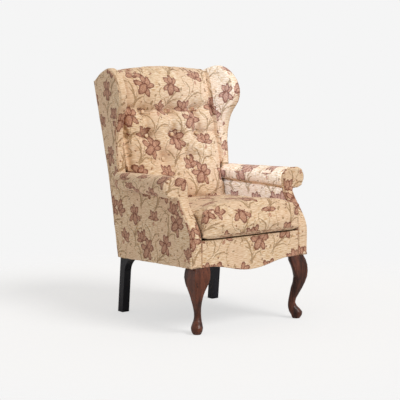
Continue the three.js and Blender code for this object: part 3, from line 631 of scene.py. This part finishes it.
def oval(steps, local):
    """How far out the place lies in a long oval that starts at its root: 1 on the rim."""
    return steps.vector("LENGTH", steps.vector("MULTIPLY_ADD", local, (2, 1, 0), (-1, 0, 0)))


origin = ("Vector", (0, 0, 0))
seen_from = {"Place": origin, "Root": origin, "Turn": origin, "Size": ("Vector", (1, 1, 1))}
under_it = {"Mask": ("Float", 0.0), "Tone": ("Float", 0.0)}
bloom_gives = {"Mask": "Float", "Tone": "Float"}


def petal_effect():
    """One petal: a long oval, dark at its rim and down its middle."""
    takes = {**under_it, **seen_from, "Deep": ("Float", 1.0)}
    group, steps, have, out = effect("petal", takes, bloom_gives)
    local = placed(steps, have)
    reach = oval(steps, local)
    inside = steps.ramp(reach, 1 + petal_edge, 1 - petal_edge)
    rim = steps.ramp(reach, rim_start, rim_full)
    aside = steps.calc("ABSOLUTE", steps.sides(local)["Y"])
    vein = steps.ramp(aside, vein_half_width, 0.0, 0.0, vein_share)
    own = steps.calc("MULTIPLY", steps.calc("MAXIMUM", rim, vein), have["Deep"])
    tone = steps.add("ShaderNodeMix", Factor=inside, A=have["Tone"], B=own).outputs[0]
    steps.give(out, Mask=steps.calc("MAXIMUM", have["Mask"], inside), Tone=tone)
    return group


def bud_effect():
    """One small bud: a plain oval."""
    takes = {"Mask": ("Float", 0.0), **seen_from}
    group, steps, have, out = effect("bud", takes, {"Mask": "Float"})
    inside = steps.ramp(oval(steps, placed(steps, have)), 1 + petal_edge, 1 - petal_edge)
    steps.give(out, Mask=steps.calc("MAXIMUM", have["Mask"], inside))
    return group


def stroke_effect():
    """A curved stroke: the part of a ring whose own X is over Start, full from Full on."""
    takes = {"Mask": ("Float", 0.0), **seen_from, "Start": ("Float", 0.0),
             "Full": ("Float", 1.0), "Width": ("Float", 0.03)}
    group, steps, have, out = effect("stroke", takes, {"Mask": "Float"})
    local = placed(steps, have)
    reach = steps.vector("LENGTH", steps.vector("MULTIPLY", local, (1, 1, 0)))
    side = steps.sides(local)["X"]
    width = steps.ramp(side, have["Start"], have["Full"], 0.0, have["Width"], "LINEAR")
    line = steps.calc("COMPARE", reach, 1.0, width)
    steps.give(out, Mask=steps.calc("MAXIMUM", have["Mask"], line))
    return group


petal = petal_effect()
bud = bud_effect()
stroke = stroke_effect()
# petals: a pair or one, root x and y, turn in degrees, length, half width, how dark its rim is
open_petals = [
    ("pair", 0.003, 0.002, 50, 0.037, 0.0115, 1.0),
    ("one", 0.0, 0.000, 88, 0.042, 0.0115, 1.0),
    ("pair", 0.002, -0.001, -27, 0.043, 0.0105, 1.0),
    ("one", 0.0, 0.008, -92, 0.050, 0.0165, 1.0),
    ("one", 0.0, 0.004, -92, 0.028, 0.0070, 0.4),
]
half_petals = [
    ("pair", 0.001, -0.012, 63, 0.050, 0.0115, 1.0),
    ("one", 0.0, -0.014, 92, 0.044, 0.0105, 1.0),
    ("pair", 0.001, -0.005, 8, 0.036, 0.0088, 1.0),
    ("one", 0.0, -0.016, -95, 0.020, 0.0060, 0.4),
]


def turned(degrees):
    return (0, 0, math.radians(degrees))


def bloom_effect(name, petals):
    """A bloom seen from the side, one petal laid over another, with its side petals in pairs."""
    group, steps, have, out = effect(name, {**under_it, **seen_from}, bloom_gives)
    place = placed(steps, have)
    sides = steps.sides(place)
    folded = steps.join(steps.calc("ABSOLUTE", sides["X"]), sides["Y"])
    mask, tone = have["Mask"], have["Tone"]
    for kind, x, y, degrees, length, half_width, deep in petals:
        seen = folded if kind == "pair" else place
        mask, tone = steps.use(petal, Mask=mask, Tone=tone, Place=seen, Root=(x, y, 0),
                               Turn=turned(degrees), Size=(length, half_width, 1), Deep=deep)
    steps.give(out, Mask=mask, Tone=tone)
    return group


open_bloom = bloom_effect("open_bloom", open_petals)
half_bloom = bloom_effect("half_open_bloom", half_petals)


def sprig_effect(name, blooms, buds, strokes):
    """One sprig: strokes are stems and long leaves, with small buds and blooms over them."""
    takes = {**under_it, "Plant": ("Float", 0.0), "Place": origin}
    group, steps, have, out = effect(name, takes, {**bloom_gives, "Plant": "Float"})
    place = have["Place"]
    plant, mask, tone = have["Plant"], have["Mask"], have["Tone"]
    for kind, x, y, degrees, radius, start, width in strokes:
        full = 1.0 if kind == "leaf" else start + stem_taper
        plant = steps.use(stroke, Mask=plant, Place=place, Root=(x, y, 0), Turn=turned(degrees),
                          Size=(radius, radius, 1), Start=start, Full=full, Width=width / radius)[0]
    for x, y, degrees, length, half_width in buds:
        plant = steps.use(bud, Mask=plant, Place=place, Root=(x, y, 0), Turn=turned(degrees),
                          Size=(length, half_width, 1))[0]
    for kind, x, y, degrees, size in blooms:
        mask, tone = steps.use(kind, Mask=mask, Tone=tone, Place=place, Root=(x, y, 0),
                               Turn=turned(degrees), Size=(size, size, 1))
    steps.give(out, Mask=mask, Tone=tone, Plant=plant)
    return group


# blooms: kind, root x and y, turn in degrees, size. buds: root x and y, turn, length, half width
# strokes: kind, ring centre x, y, turn in degrees, radius, start as a share of it, half width
double_sprig = sprig_effect(
    "double_sprig",
    blooms=[(half_bloom, 0.026, 0.040, -24, 1.15), (open_bloom, -0.024, 0.010, 26, 1.18)],
    buds=[(0.071, -0.008, 80, 0.016, 0.0042), (-0.080, -0.020, 130, 0.014, 0.0038)],
    strokes=[
        ("stem", -0.120, -0.070, 12, 0.122, 0.90, 0.0013),
        ("stem", 0.118, -0.050, 165, 0.112, 0.80, 0.0013),
        ("leaf", -0.052, -0.088, 38, 0.054, 0.62, 0.0030),
        ("leaf", 0.066, -0.084, 142, 0.062, 0.70, 0.0034),
        ("leaf", 0.135, -0.095, 152, 0.128, 0.86, 0.0038),
        ("leaf", -0.058, -0.032, -30, 0.026, -0.40, 0.0016),
        ("leaf", 0.060, -0.020, 60, 0.020, -0.60, 0.0014),
    ],
)
single_sprig = sprig_effect(
    "single_sprig",
    blooms=[(open_bloom, 0.002, 0.030, -8, 1.10)],
    buds=[(-0.050, 0.018, 100, 0.017, 0.0044), (0.058, 0.016, 40, 0.014, 0.0040)],
    strokes=[
        ("stem", -0.120, -0.035, 0, 0.122, 0.84, 0.0014),
        ("leaf", -0.064, -0.078, 34, 0.062, 0.68, 0.0032),
        ("leaf", 0.056, -0.085, 146, 0.056, 0.60, 0.0030),
        ("leaf", -0.150, -0.082, 25, 0.150, 0.90, 0.0038),
        ("leaf", 0.030, -0.012, -20, 0.030, -0.20, 0.0017),
        ("leaf", -0.040, -0.004, 150, 0.018, -0.60, 0.0014),
    ],
)
budding_sprig = sprig_effect(
    "budding_sprig",
    blooms=[(half_bloom, -0.010, 0.030, 14, 1.0)],
    buds=[(0.040, 0.030, 75, 0.019, 0.0050), (0.056, 0.000, 30, 0.014, 0.0040)],
    strokes=[
        ("stem", -0.130, -0.040, 0, 0.122, 0.84, 0.0014),
        ("stem", 0.100, 0.020, 195, 0.075, 0.60, 0.0012),
        ("leaf", 0.058, -0.082, 140, 0.062, 0.66, 0.0032),
        ("leaf", -0.066, -0.070, 40, 0.050, 0.55, 0.0030),
        ("leaf", -0.046, -0.014, 200, 0.022, -0.50, 0.0015),
    ],
)


def half_drop_effect():
    """The repeat: cells in columns, each other column half a cell lower, each cell turned."""
    takes = {"Place": origin, "Shift": origin}
    group, steps, have, out = effect("half_drop", takes, {"Place": "Vector"})
    scaled = steps.vector("ADD", steps.vector("DIVIDE", have["Place"], repeat_size), have["Shift"])
    sides = steps.sides(scaled)
    column = steps.calc("PINGPONG", steps.calc("FLOOR", sides["X"]), 1.0)
    moved = steps.join(sides["X"], steps.calc("MULTIPLY_ADD", column, 0.5, sides["Y"]))
    cell = steps.vector("FLOOR", moved)
    inner = steps.vector("SUBTRACT", moved, steps.vector("ADD", cell, (0.5, 0.5, 0)))
    chance = steps.add("ShaderNodeTexWhiteNoise", {"noise_dimensions": "3D"},
                       Vector=steps.vector("ADD", cell, have["Shift"])).outputs
    swing = steps.calc("MULTIPLY", steps.calc("SUBTRACT", chance[0], 0.5), sprig_turn_range)
    mirror = steps.calc("SIGN", steps.calc("SUBTRACT", steps.sides(chance[1])["X"], 0.5))
    local = steps.vector("MULTIPLY", inner, repeat_size)
    local = steps.vector("MULTIPLY", local, steps.join(mirror, 1.0, 1.0))
    stray = steps.vector("SUBTRACT", chance[1], (0.5, 0.5, 0.5))
    local = steps.vector("MULTIPLY_ADD", stray, (sprig_jitter, sprig_jitter, 0), local)
    swung = steps.add("ShaderNodeVectorRotate", {"rotation_type": "Z_AXIS"},
                      Vector=local, Angle=swing).outputs[0]
    steps.give(out, Place=swung)
    return group


half_drop = half_drop_effect()
# each kind of sprig: its shift in cells across and up, and a number for its own chances
lattice = [
    (double_sprig, (0.0, 0.0, 0.0)),
    (single_sprig, (1 / 3, 0.5, 7.0)),
    (budding_sprig, (2 / 3, 0.0, 13.0)),
]


def strayed(steps, ground, place, scale, detail, size):
    """A place moved a little by noise, so that nothing woven has a clean edge."""
    waves = steps.vector("SUBTRACT", steps.noise(ground, scale, detail)[1], (0.5, 0.5, 0.5))
    return steps.vector("MULTIPLY_ADD", waves, (size * 2, size * 2, 0), place)


def print_effect():
    """The woven print over the ground: three kinds of sprig and a scatter of small dots."""
    takes = {"Ground": ("Color", grey(1)), "Place": origin}
    group, steps, have, out = effect("flower_print", takes, {"Colour": "Color"})
    flat = have["Place"]
    place = strayed(steps, flat, flat, wobble_scale, wobble_detail, wobble_size)
    place = strayed(steps, flat, place, ruffle_scale, ruffle_detail, ruffle_size)
    spots = steps.add("ShaderNodeTexVoronoi", {"voronoi_dimensions": "2D"},
                      Vector=place, Scale=dot_scale).outputs
    kept = steps.calc("GREATER_THAN", steps.sides(spots["Color"])["X"], dot_skipped_share)
    dots = steps.calc("MULTIPLY", steps.ramp(spots["Distance"], dot_rim, dot_core), kept)
    mask, tone, plant = 0.0, 0.0, 0.0
    for sprig, shift in lattice:
        local = steps.use(half_drop, Place=place, Shift=shift)[0]
        mask, tone, plant = steps.use(sprig, Mask=mask, Tone=tone, Plant=plant, Place=local)
    thread = steps.noise(flat, worn_scale)[0]
    worn = steps.ramp(thread, worn_start, worn_full, 1.0, 1 - worn_share)
    green = steps.blend(steps.noise(flat, leaf_tone_scale)[0], tint(leaf_light), tint(leaf_dark))
    mottle = steps.noise(flat, mottle_scale, 1.0)[0]
    mottle = steps.ramp(mottle, mottle_start, mottle_full, 0.0, mottle_share)
    red = steps.blend(steps.calc("MAXIMUM", tone, mottle), tint(bloom_light), tint(bloom_dark))
    colour = have["Ground"]
    for share, ink in ((dots, tint(bud_colour)), (plant, green), (mask, red)):
        colour = steps.blend(steps.calc("MULTIPLY", share, worn), colour, ink)
    steps.give(out, Colour=colour)
    return group


flower_print = print_effect()


def slub_effect():
    """Thick and thin threads running across the cloth."""
    gives = {"Slub": "Float", "Patch": "Float", "Height": "Float"}
    group, steps, have, out = effect("slub_weave", {"Place": origin}, gives)
    drawn = steps.vector("MULTIPLY", have["Place"], (slub_across, slub_up, 0))
    slub = steps.noise(drawn, 1.0, slub_detail, slub_roughness)[0]
    drawn = steps.vector("MULTIPLY", have["Place"], (fine_across, fine_up, 0))
    fine = steps.noise(drawn, 1.0, 1.0)[0]
    patch = steps.ramp(steps.noise(have["Place"], rosy_scale)[0], rosy_start, rosy_full)
    steps.give(out, Slub=steps.ramp(slub, slub_start, slub_full), Patch=patch,
               Height=steps.calc("MULTIPLY_ADD", fine, fine_share, slub))
    return group


slub_weave = slub_effect()


def print_cloth():
    material, steps = surface("flower_cloth")
    place = steps.add("ShaderNodeUVMap", {"uv_map": "cloth"}).outputs[0]
    weave = steps.use(slub_weave, Place=place)
    ground = steps.blend(weave["Slub"], tint(ground_cream), tint(ground_gold))
    rosy = steps.calc("MULTIPLY", weave["Patch"], rosy_share)
    ground = steps.blend(rosy, ground, tint(ground_rose))
    printed = steps.use(flower_print, Ground=ground, Place=place)["Colour"]
    shadow = steps.ramp(weave["Slub"], shadow_start, 1.0, 0.0, shadow_share)
    colour = steps.blend(shadow, printed, tint(slub_shadow))
    shader = steps.add("ShaderNodeBsdfPrincipled", Base_Color=colour)
    shader.inputs["Roughness"].default_value = cloth_rough
    shader.inputs["Sheen Weight"].default_value = sheen_weight
    shader.inputs["Sheen Roughness"].default_value = sheen_rough
    shader.inputs["Specular IOR Level"].default_value = cloth_specular
    normal = steps.bump(weave["Height"], weave_bump, weave_bump_strength)
    steps.feed(shader.inputs["Normal"], normal)
    steps.feed(steps.output, shader.outputs[0])
    return material


flower_cloth = print_cloth()
FRONT, BACK, LEFT, RIGHT = (0, -1, 0), (0, 1, 0), (1, 0, 0), (-1, 0, 0)
TOP, UNDER = (0, 0, 1), (0, 0, -1)
SIDES = (FRONT, BACK, LEFT, RIGHT, TOP, UNDER)


def flat_cut(across, up, shift=(0.0, 0.0)):
    """A cut of cloth laid flat on a side: the place of a point is how far it lies across and up."""
    def place(points):
        sides = np.stack([points @ np.array(across, float), points @ np.array(up, float)], 1)
        return sides + np.array(shift)
    return place


def lay_cloth(piece, cuts, shift):
    """Each face takes the cut whose direction it faces most."""
    mesh = piece.data
    points = points_of(piece)
    totals = np.empty(len(mesh.polygons), int)
    mesh.polygons.foreach_get("loop_total", totals)
    corners = np.empty(len(mesh.loops), int)
    mesh.loops.foreach_get("vertex_index", corners)
    ways = np.array([np.array(way, float) / np.linalg.norm(way) for way, _ in cuts])
    facing = array_of(mesh.polygons, "normal")
    chosen = np.repeat(np.argmax(facing @ ways.T, axis=1), totals)
    places = np.zeros((len(corners), 2))
    for index, (_, place) in enumerate(cuts):
        mine = chosen == index
        places[mine] = place(points[corners[mine]])
    laid = mesh.uv_layers.new(name="cloth")
    laid.data.foreach_set("uv", (places + np.array(shift)).ravel())


def tree_of(points):
    tree = kdtree.KDTree(len(points))
    for index, point in enumerate(points):
        tree.insert(point, index)
    tree.balance()
    return tree


def cut_edges(piece, first, second):
    """Points along the line where the faces that look one way meet those that look the other."""
    shape = bmesh.new()
    shape.from_mesh(piece.data)
    ways = [Vector(way).normalized() for way in (first, second, *SIDES)]
    picks = {f.index: max(range(len(ways)), key=lambda i: f.normal.dot(ways[i])) for f in shape.faces}
    found = []
    for edge in shape.edges:
        if {picks[f.index] for f in edge.link_faces} == {0, 1}:
            found.append((edge.verts[0].co + edge.verts[1].co) / 2)
    shape.free()
    tree = tree_of(found)
    evened = []
    for point in found:
        near = [co for co, _, _ in tree.find_range(point, edge_reach)]
        evened.append(sum(near, Vector()) / len(near))
    return evened


def distances(points, targets):
    """How far each point is from the nearest of the targets."""
    tree = tree_of(targets)
    return np.array([tree.find(p)[2] for p in points])


def hill(off, width):
    """A soft hump: 1 at nothing off, and nearly 0 at twice the width."""
    return np.exp(-((off / width) ** 2))


def sew(piece, line, depth=seam_depth, width=seam_width):
    """A sewn line: the cloth dips on the line and swells a little beside it."""
    points = points_of(piece)
    off = distances(points, line)
    dip = hill(off, width) - seam_swell_share * hill(off - seam_swell_at * width, width)
    move_points(piece, points - normals_of(piece) * (dip * depth)[:, None])


def box_cuts(top_join=0.0, front_join=0.0):
    """Cuts for a plain upholstered form: the front runs over the top, the sides are their own."""
    return [
        (FRONT, flat_cut((1, 0, 0), (0, 0, 1))),
        (BACK, flat_cut((-1, 0, 0), (0, 0, 1), back_shift)),
        (TOP, flat_cut((1, 0, 0), (0, 1, 0), (0.0, top_join - front_join))),
        (UNDER, flat_cut((1, 0, 0), (0, -1, 0), under_shift)),
        (LEFT, flat_cut((0, 1, 0), (0, 0, 1), left_shift)),
        (RIGHT, flat_cut((0, -1, 0), (0, 0, 1), right_shift)),
    ]


def unevenness(piece, height, seed):
    """Low soft waves in the stuffing under the cloth."""
    points = points_of(piece)
    away = normals_of(piece)
    offset = Vector((seed, -seed, seed / 2))
    waves = np.array([noise.noise(Vector(p) / wave_length + offset) for p in points])
    move_points(piece, points + away * (waves * height)[:, None])


def upholster(name, node, voxel, cuts, shift, ease=3, keep=1.0, plump=0.0,
              waves=wave_height, seed=1.0):
    """A covered piece: its skin, the low waves of its stuffing, its cloth and its place."""
    piece = cover(name, node, voxel, ease, keep)
    if plump:
        move_points(piece, points_of(piece) + normals_of(piece) * plump)
    if waves:
        unevenness(piece, waves, seed)
    lay_cloth(piece, cuts, shift)
    fit(piece, node, flower_cloth)
    return piece


# Back
# A raked pad, deep-buttoned in rows of three, three and two, that rolls over the crest rail.
# The cloth is drawn into pleats between the buttons and puffed out between them by its
# stuffing. The outside back is a plain cover sewn along the uprights.
pad_voxel = 0.006
pad_slack = 0.004
pad_pressure = 4.0
pad_growth = 0.03
pad_cap = 0.024
pad_slope = 0.26
hold_radius = 0.013
held_pleats = 5
pleat_hold_share = 0.6
pleat_hold_width = 0.006
held_low_z = 0.5
held_back_facing = 0.25
held_side_facing = 0.8
pad_edge_x = 0.246
pad_edge_depth = 0.024
pad_edge_width = 0.010
pad_edge_low = 0.57
pad_edge_high = 1.05
crest_join = 0.87
cloth_steps = 20
cloth_frames = range(1, cloth_steps + 1)
line_step = 0.002
no_length = 1e-9
ahead_y = -0.5
button_sink = 0.0065
button_voxel = 0.0014
button_shift = (0.05, 0.08)
thin_voxel = 0.0024


def line_points(corners):
    """Points a short step apart along a bent line."""
    points = []
    for start, end in zip(corners, corners[1:]):
        count = max(int((Vector(end) - Vector(start)).length / line_step), 1)
        points += [Vector(start).lerp(Vector(end), i / count) for i in range(count + 1)]
    return points


def surface_line(piece, starts, way):
    """The points where straight lines from the starts first meet the piece."""
    bpy.context.view_layer.update()
    hits = [piece.ray_cast(Vector(start), Vector(way)) for start in starts]
    return [place for met, place, _, _ in hits if met]


def swell(piece, line, height, width):
    """Raises the cloth along a line, as a full edge does."""
    points = points_of(piece)
    share = hill(distances(points, line), width)
    move_points(piece, points + normals_of(piece) * (share * height)[:, None])


def press_in(piece, targets, way, depth, width):
    """Draws the cloth in along a line, deepest on the line."""
    points = points_of(piece)
    share = hill(distances(points, targets), width)
    move_points(piece, points + np.outer(share * depth, way))


def puff(piece, held, pressure, growth, cap):
    """The stuffing presses the cloth out between the points that hold it, then one subdivision."""
    start = points_of(piece)
    group = piece.vertex_groups.new(name="held")
    for index, weight in enumerate(held):
        group.add([index], float(weight), "REPLACE")
    cloth = piece.modifiers.new("puff", "CLOTH")
    cloth.settings.vertex_group_mass = group.name
    cloth.settings.use_pressure = True
    cloth.settings.uniform_pressure_force = pressure
    cloth.settings.shrink_min = -growth
    cloth.settings.effector_weights.gravity = 0
    cloth.collision_settings.use_collision = False
    cloth.point_cache.frame_start = cloth_frames[0]
    cloth.point_cache.frame_end = cloth_frames[-1]
    for step in cloth_frames:
        scene.frame_set(step)
    apply_modifiers(piece)
    scene.frame_set(cloth_frames[0])
    piece.vertex_groups.clear()
    moved = points_of(piece) - start
    length = np.maximum(np.linalg.norm(moved, axis=1), no_length)
    move_points(piece, start + moved * np.minimum(cap / length, 1)[:, None])
    finer = piece.modifiers.new("finer", "SUBSURF")
    finer.levels = 1
    finer.render_levels = 1
    apply_modifiers(piece)
    piece.data.shade_smooth()


buttons = []
for i in range(1, 9):
    low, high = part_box(f"back_button_{i}")
    buttons.append((low + high) / 2)
top_row, middle_row, low_row = buttons[:3], buttons[3:6], buttons[6:]
back_in = (0, 0.96, -pad_slope)
back_way = np.array(back_in) / np.linalg.norm(back_in)
pad_cuts = [
    ((0, -0.9, 0.4), flat_cut((1, 0, 0), (0, 0, 1))),
    ((0, 0.45, 0.9), flat_cut((1, 0, 0), (0, 1, 0), (0.0, crest_join))),
    (BACK, flat_cut((-1, 0, 0), (0, 0, 1))),
    (UNDER, flat_cut((1, 0, 0), (0, -1, 0))),
]


def beside(button, x, z):
    """A point on the pad's face, away from a button by x across and z up."""
    return (button.x + x, button.y + z * pad_slope, button.z + z)


# pleats: from button to button or to a point beside one, then depth and width
pleats = [
    ([beside(top_row[0], -0.075, 0.012), top_row[0], top_row[1], top_row[2],
      beside(top_row[2], 0.075, 0.012)], 0.020, 0.013),
    ([top_row[0], middle_row[0]], 0.012, 0.011),
    ([top_row[1], middle_row[1]], 0.012, 0.011),
    ([top_row[2], middle_row[2]], 0.012, 0.011),
    ([beside(middle_row[0], -0.095, 0.0), *middle_row, beside(middle_row[2], 0.095, 0.0)],
     0.015, 0.009),
    ([middle_row[0], low_row[0], middle_row[1], low_row[1], middle_row[2]], 0.006, 0.010),
    ([low_row[0], beside(low_row[0], -0.01, -0.09)], 0.005, 0.010),
    ([low_row[1], beside(low_row[1], 0.01, -0.09)], 0.005, 0.010),
]
back_pad = cover("buttoned_back", "back_pad", pad_voxel)
for corners, depth, width in pleats:
    press_in(back_pad, line_points(corners), back_way, depth, width)
for way in (1, -1):
    heights = np.arange(pad_edge_low, pad_edge_high, line_step)
    edge = surface_line(back_pad, [(way * pad_edge_x, ahead_y, z) for z in heights], BACK)
    press_in(back_pad, edge, back_way, pad_edge_depth, pad_edge_width)
face_points = points_of(back_pad)
face_ways = normals_of(back_pad)
near_buttons = hill(distances(face_points, buttons), hold_radius)
pleat_lines = [point for corners, _, _ in pleats[:held_pleats] for point in line_points(corners)]
near_pleats = pleat_hold_share * hill(distances(face_points, pleat_lines), pleat_hold_width)
behind = face_ways[:, 1] > held_back_facing
behind |= face_points[:, 2] < held_low_z
behind |= abs(face_ways[:, 0]) > held_side_facing
held = np.maximum(np.maximum(near_buttons, near_pleats), behind)
move_points(back_pad, face_points - face_ways * pad_slack * (1 - held)[:, None])
puff(back_pad, held, pad_pressure, pad_growth, pad_cap)
lay_cloth(back_pad, pad_cuts, (0.03, 0.06))
fit(back_pad, "back_pad", flower_cloth)
spot_pieces.objects.link(back_pad)
for i in range(1, 9):
    node = f"back_button_{i}"
    button = upholster(f"covered_button_{i}", node, button_voxel, box_cuts(),
                       shift=(button_shift[0] * i, button_shift[1]), waves=0.0)
    move_points(button, points_of(button) + back_way * button_sink)
upholster("outside_back_cover", "outside_back", thin_voxel, box_cuts(), shift=(0.12, 0.02),
          keep=0.3, seed=3.0)

# Wings
# Each wing is padded inside and round its front edge in one pad, with a flat outside cover
# sewn to it from the arm up over the top.
for side, way in (("left", 1), ("right", -1)):
    wing = upholster(f"wing_{side}", f"wing_pad_{side}", skin_voxel, box_cuts(), ease=10,
                     plump=0.0015, shift=(0.13 * way, -0.03), seed=5.0 + way)
    if side == "left":
        softbox_pieces.objects.link(wing)
    upholster(f"wing_outside_{side}", f"outside_wing_{side}", thin_voxel, box_cuts(),
              shift=(0.02 * way, 0.1), keep=0.35, seed=7.0 + way)

# Arms
# The roll and the inside of each arm are one pad; a scroll facing closes the front, and the
# outside cover hangs from under the roll to the underside of the rail.
roll_centre_z = 0.597
roll_radius = 0.044
roll_half_gap = 0.330
roll_belly_z = 0.592
roll_belly = 0.008
roll_belly_width = 0.026
roll_tuck_z = 0.556
roll_tuck_depth = 0.016
roll_tuck_width = 0.008
roll_front_y = -0.345
roll_back_y = 0.16
inside_fall = 0.4
facing_voxel = 0.0025
facing_seam_depth = 0.003
facing_seam_width = 0.0035


def rolled_cut(way):
    """The roll's cut wraps round its length: up the inside, over the top and down the outside."""
    def place(points):
        across = (points[:, 0] - way * roll_half_gap) * way
        turn = np.arctan2(across, points[:, 2] - roll_centre_z)
        return np.stack([points[:, 1] * way, -turn * roll_radius + roll_centre_z], 1)
    return place


def arm_cuts(way):
    """Cuts for an arm: one rolled over its top, one flat inside and one at each end."""
    roll = rolled_cut(way)
    inside = flat_cut((0, way, 0), (0, 0, 1))
    end = flat_cut((1, 0, 0), (0, 0, 1))
    return [
        (TOP, roll), ((way, 0, 0), roll), ((-way, 0, 1), roll), ((way, 0, 1), roll),
        ((way, 0, -1), roll), ((-way, 0, 0), inside), ((-way, 0, -inside_fall), inside),
        (FRONT, end), (BACK, end),
    ]


for side, way in (("left", 1), ("right", -1)):
    arm = upholster(f"arm_{side}", f"arm_pad_{side}", skin_voxel, arm_cuts(way), ease=6,
                    plump=0.001, shift=(0.12, 0.05 * way), seed=9.0 + way)
    reach = np.arange(roll_front_y, roll_back_y, line_step)
    inward = (way, 0, 0)
    roll = surface_line(arm, [(0, y, roll_belly_z) for y in reach], inward)
    tuck = surface_line(arm, [(0, y, roll_tuck_z) for y in reach], inward)
    press_in(arm, roll, (-way, 0, 0), roll_belly, roll_belly_width)
    press_in(arm, tuck, inward, roll_tuck_depth, roll_tuck_width)
    if side == "left":
        softbox_pieces.objects.link(arm)
    facing = upholster(f"arm_front_{side}", f"arm_facing_{side}", facing_voxel, box_cuts(),
                       ease=6, plump=0.001, shift=(0.06 * way, 0.02), seed=11.0 + way,
                       waves=0.0008)
    rim = [point for turn in (LEFT, RIGHT, TOP, UNDER) for point in cut_edges(facing, FRONT, turn)]
    sew(facing, rim, facing_seam_depth, facing_seam_width)
    upholster(f"arm_outside_{side}", f"outside_arm_{side}", thin_voxel, box_cuts(),
              shift=(0.03, 0.05 * way), keep=0.3, seed=13.0 + way)

# Front border
# The strip under the cushion, drawn down over the bowed rail.
border_voxel = 0.003
upholster("front_border_cover", "front_border", border_voxel, box_cuts(), shift=(0.09, 0.03),
          keep=0.6, seed=15.0)

# Seat cushion
# A loose feather-and-foam cushion, T-shaped at the front, boxed and crowned.
cushion_top_z = 0.51
cushion_front_y = 0.39
cushion_slack = 0.006
cushion_pressure = 3.0
cushion_growth = 0.004
cushion_cap = 0.010
cushion_edge_rise = 0.007
cushion_edge_width = 0.014
tucked_side_facing = 0.7
tucked_behind_y = -0.27
held_under_facing = -0.4
held_rear_facing = 0.5
cushion = cover("loose_cushion", "seat_cushion", pad_voxel)
cushion_points = points_of(cushion)
cushion_ways = normals_of(cushion)
held = abs(cushion_ways[:, 0]) > tucked_side_facing
held &= cushion_points[:, 1] > tucked_behind_y
held |= cushion_ways[:, 2] < held_under_facing
held |= cushion_ways[:, 1] > held_rear_facing
held = held.astype(float)
move_points(cushion, cushion_points - cushion_ways * cushion_slack * (1 - held)[:, None])
puff(cushion, held, cushion_pressure, cushion_growth, cushion_cap)
cushion_edges = [cut_edges(cushion, *pair) for pair in (
    (FRONT, TOP), (FRONT, UNDER), (LEFT, TOP), (RIGHT, TOP), (FRONT, LEFT), (FRONT, RIGHT))]
swell(cushion, cushion_edges[0], cushion_edge_rise, cushion_edge_width)
for edge in cushion_edges:
    sew(cushion, edge)
lay_cloth(cushion, box_cuts(cushion_top_z, -cushion_front_y), (0.1, 0.04))
fit(cushion, "seat_cushion", flower_cloth, "cushion")

# Legs
# Two cabriole front legs of mahogany, polished dark, and two plain rear legs stained black.
mahogany_pale = "#72402d"
mahogany_deep = "#2b130c"
mahogany_pore = "#1d0b06"
ebony_pale = "#181720"
ebony_deep = "#0b0a10"
polish_rough = 0.3
polish_gloss = 0.12
stain_rough = 0.35
stain_gloss = 0.1
leg_voxel = 0.0022
polished = wood("polished_mahogany", 2, mahogany_pale, mahogany_deep, mahogany_pore,
                polish_rough, polish_gloss)
stained = wood("black_stain", 2, ebony_pale, ebony_deep, ebony_deep, stain_rough, stain_gloss)
for name in both_sides("front_leg"):
    leg = cover(f"cabriole_{name}", name, leg_voxel, ease=1)
    fit(leg, name, polished)
for name in both_sides("rear_leg"):
    finish_node(name, stained)
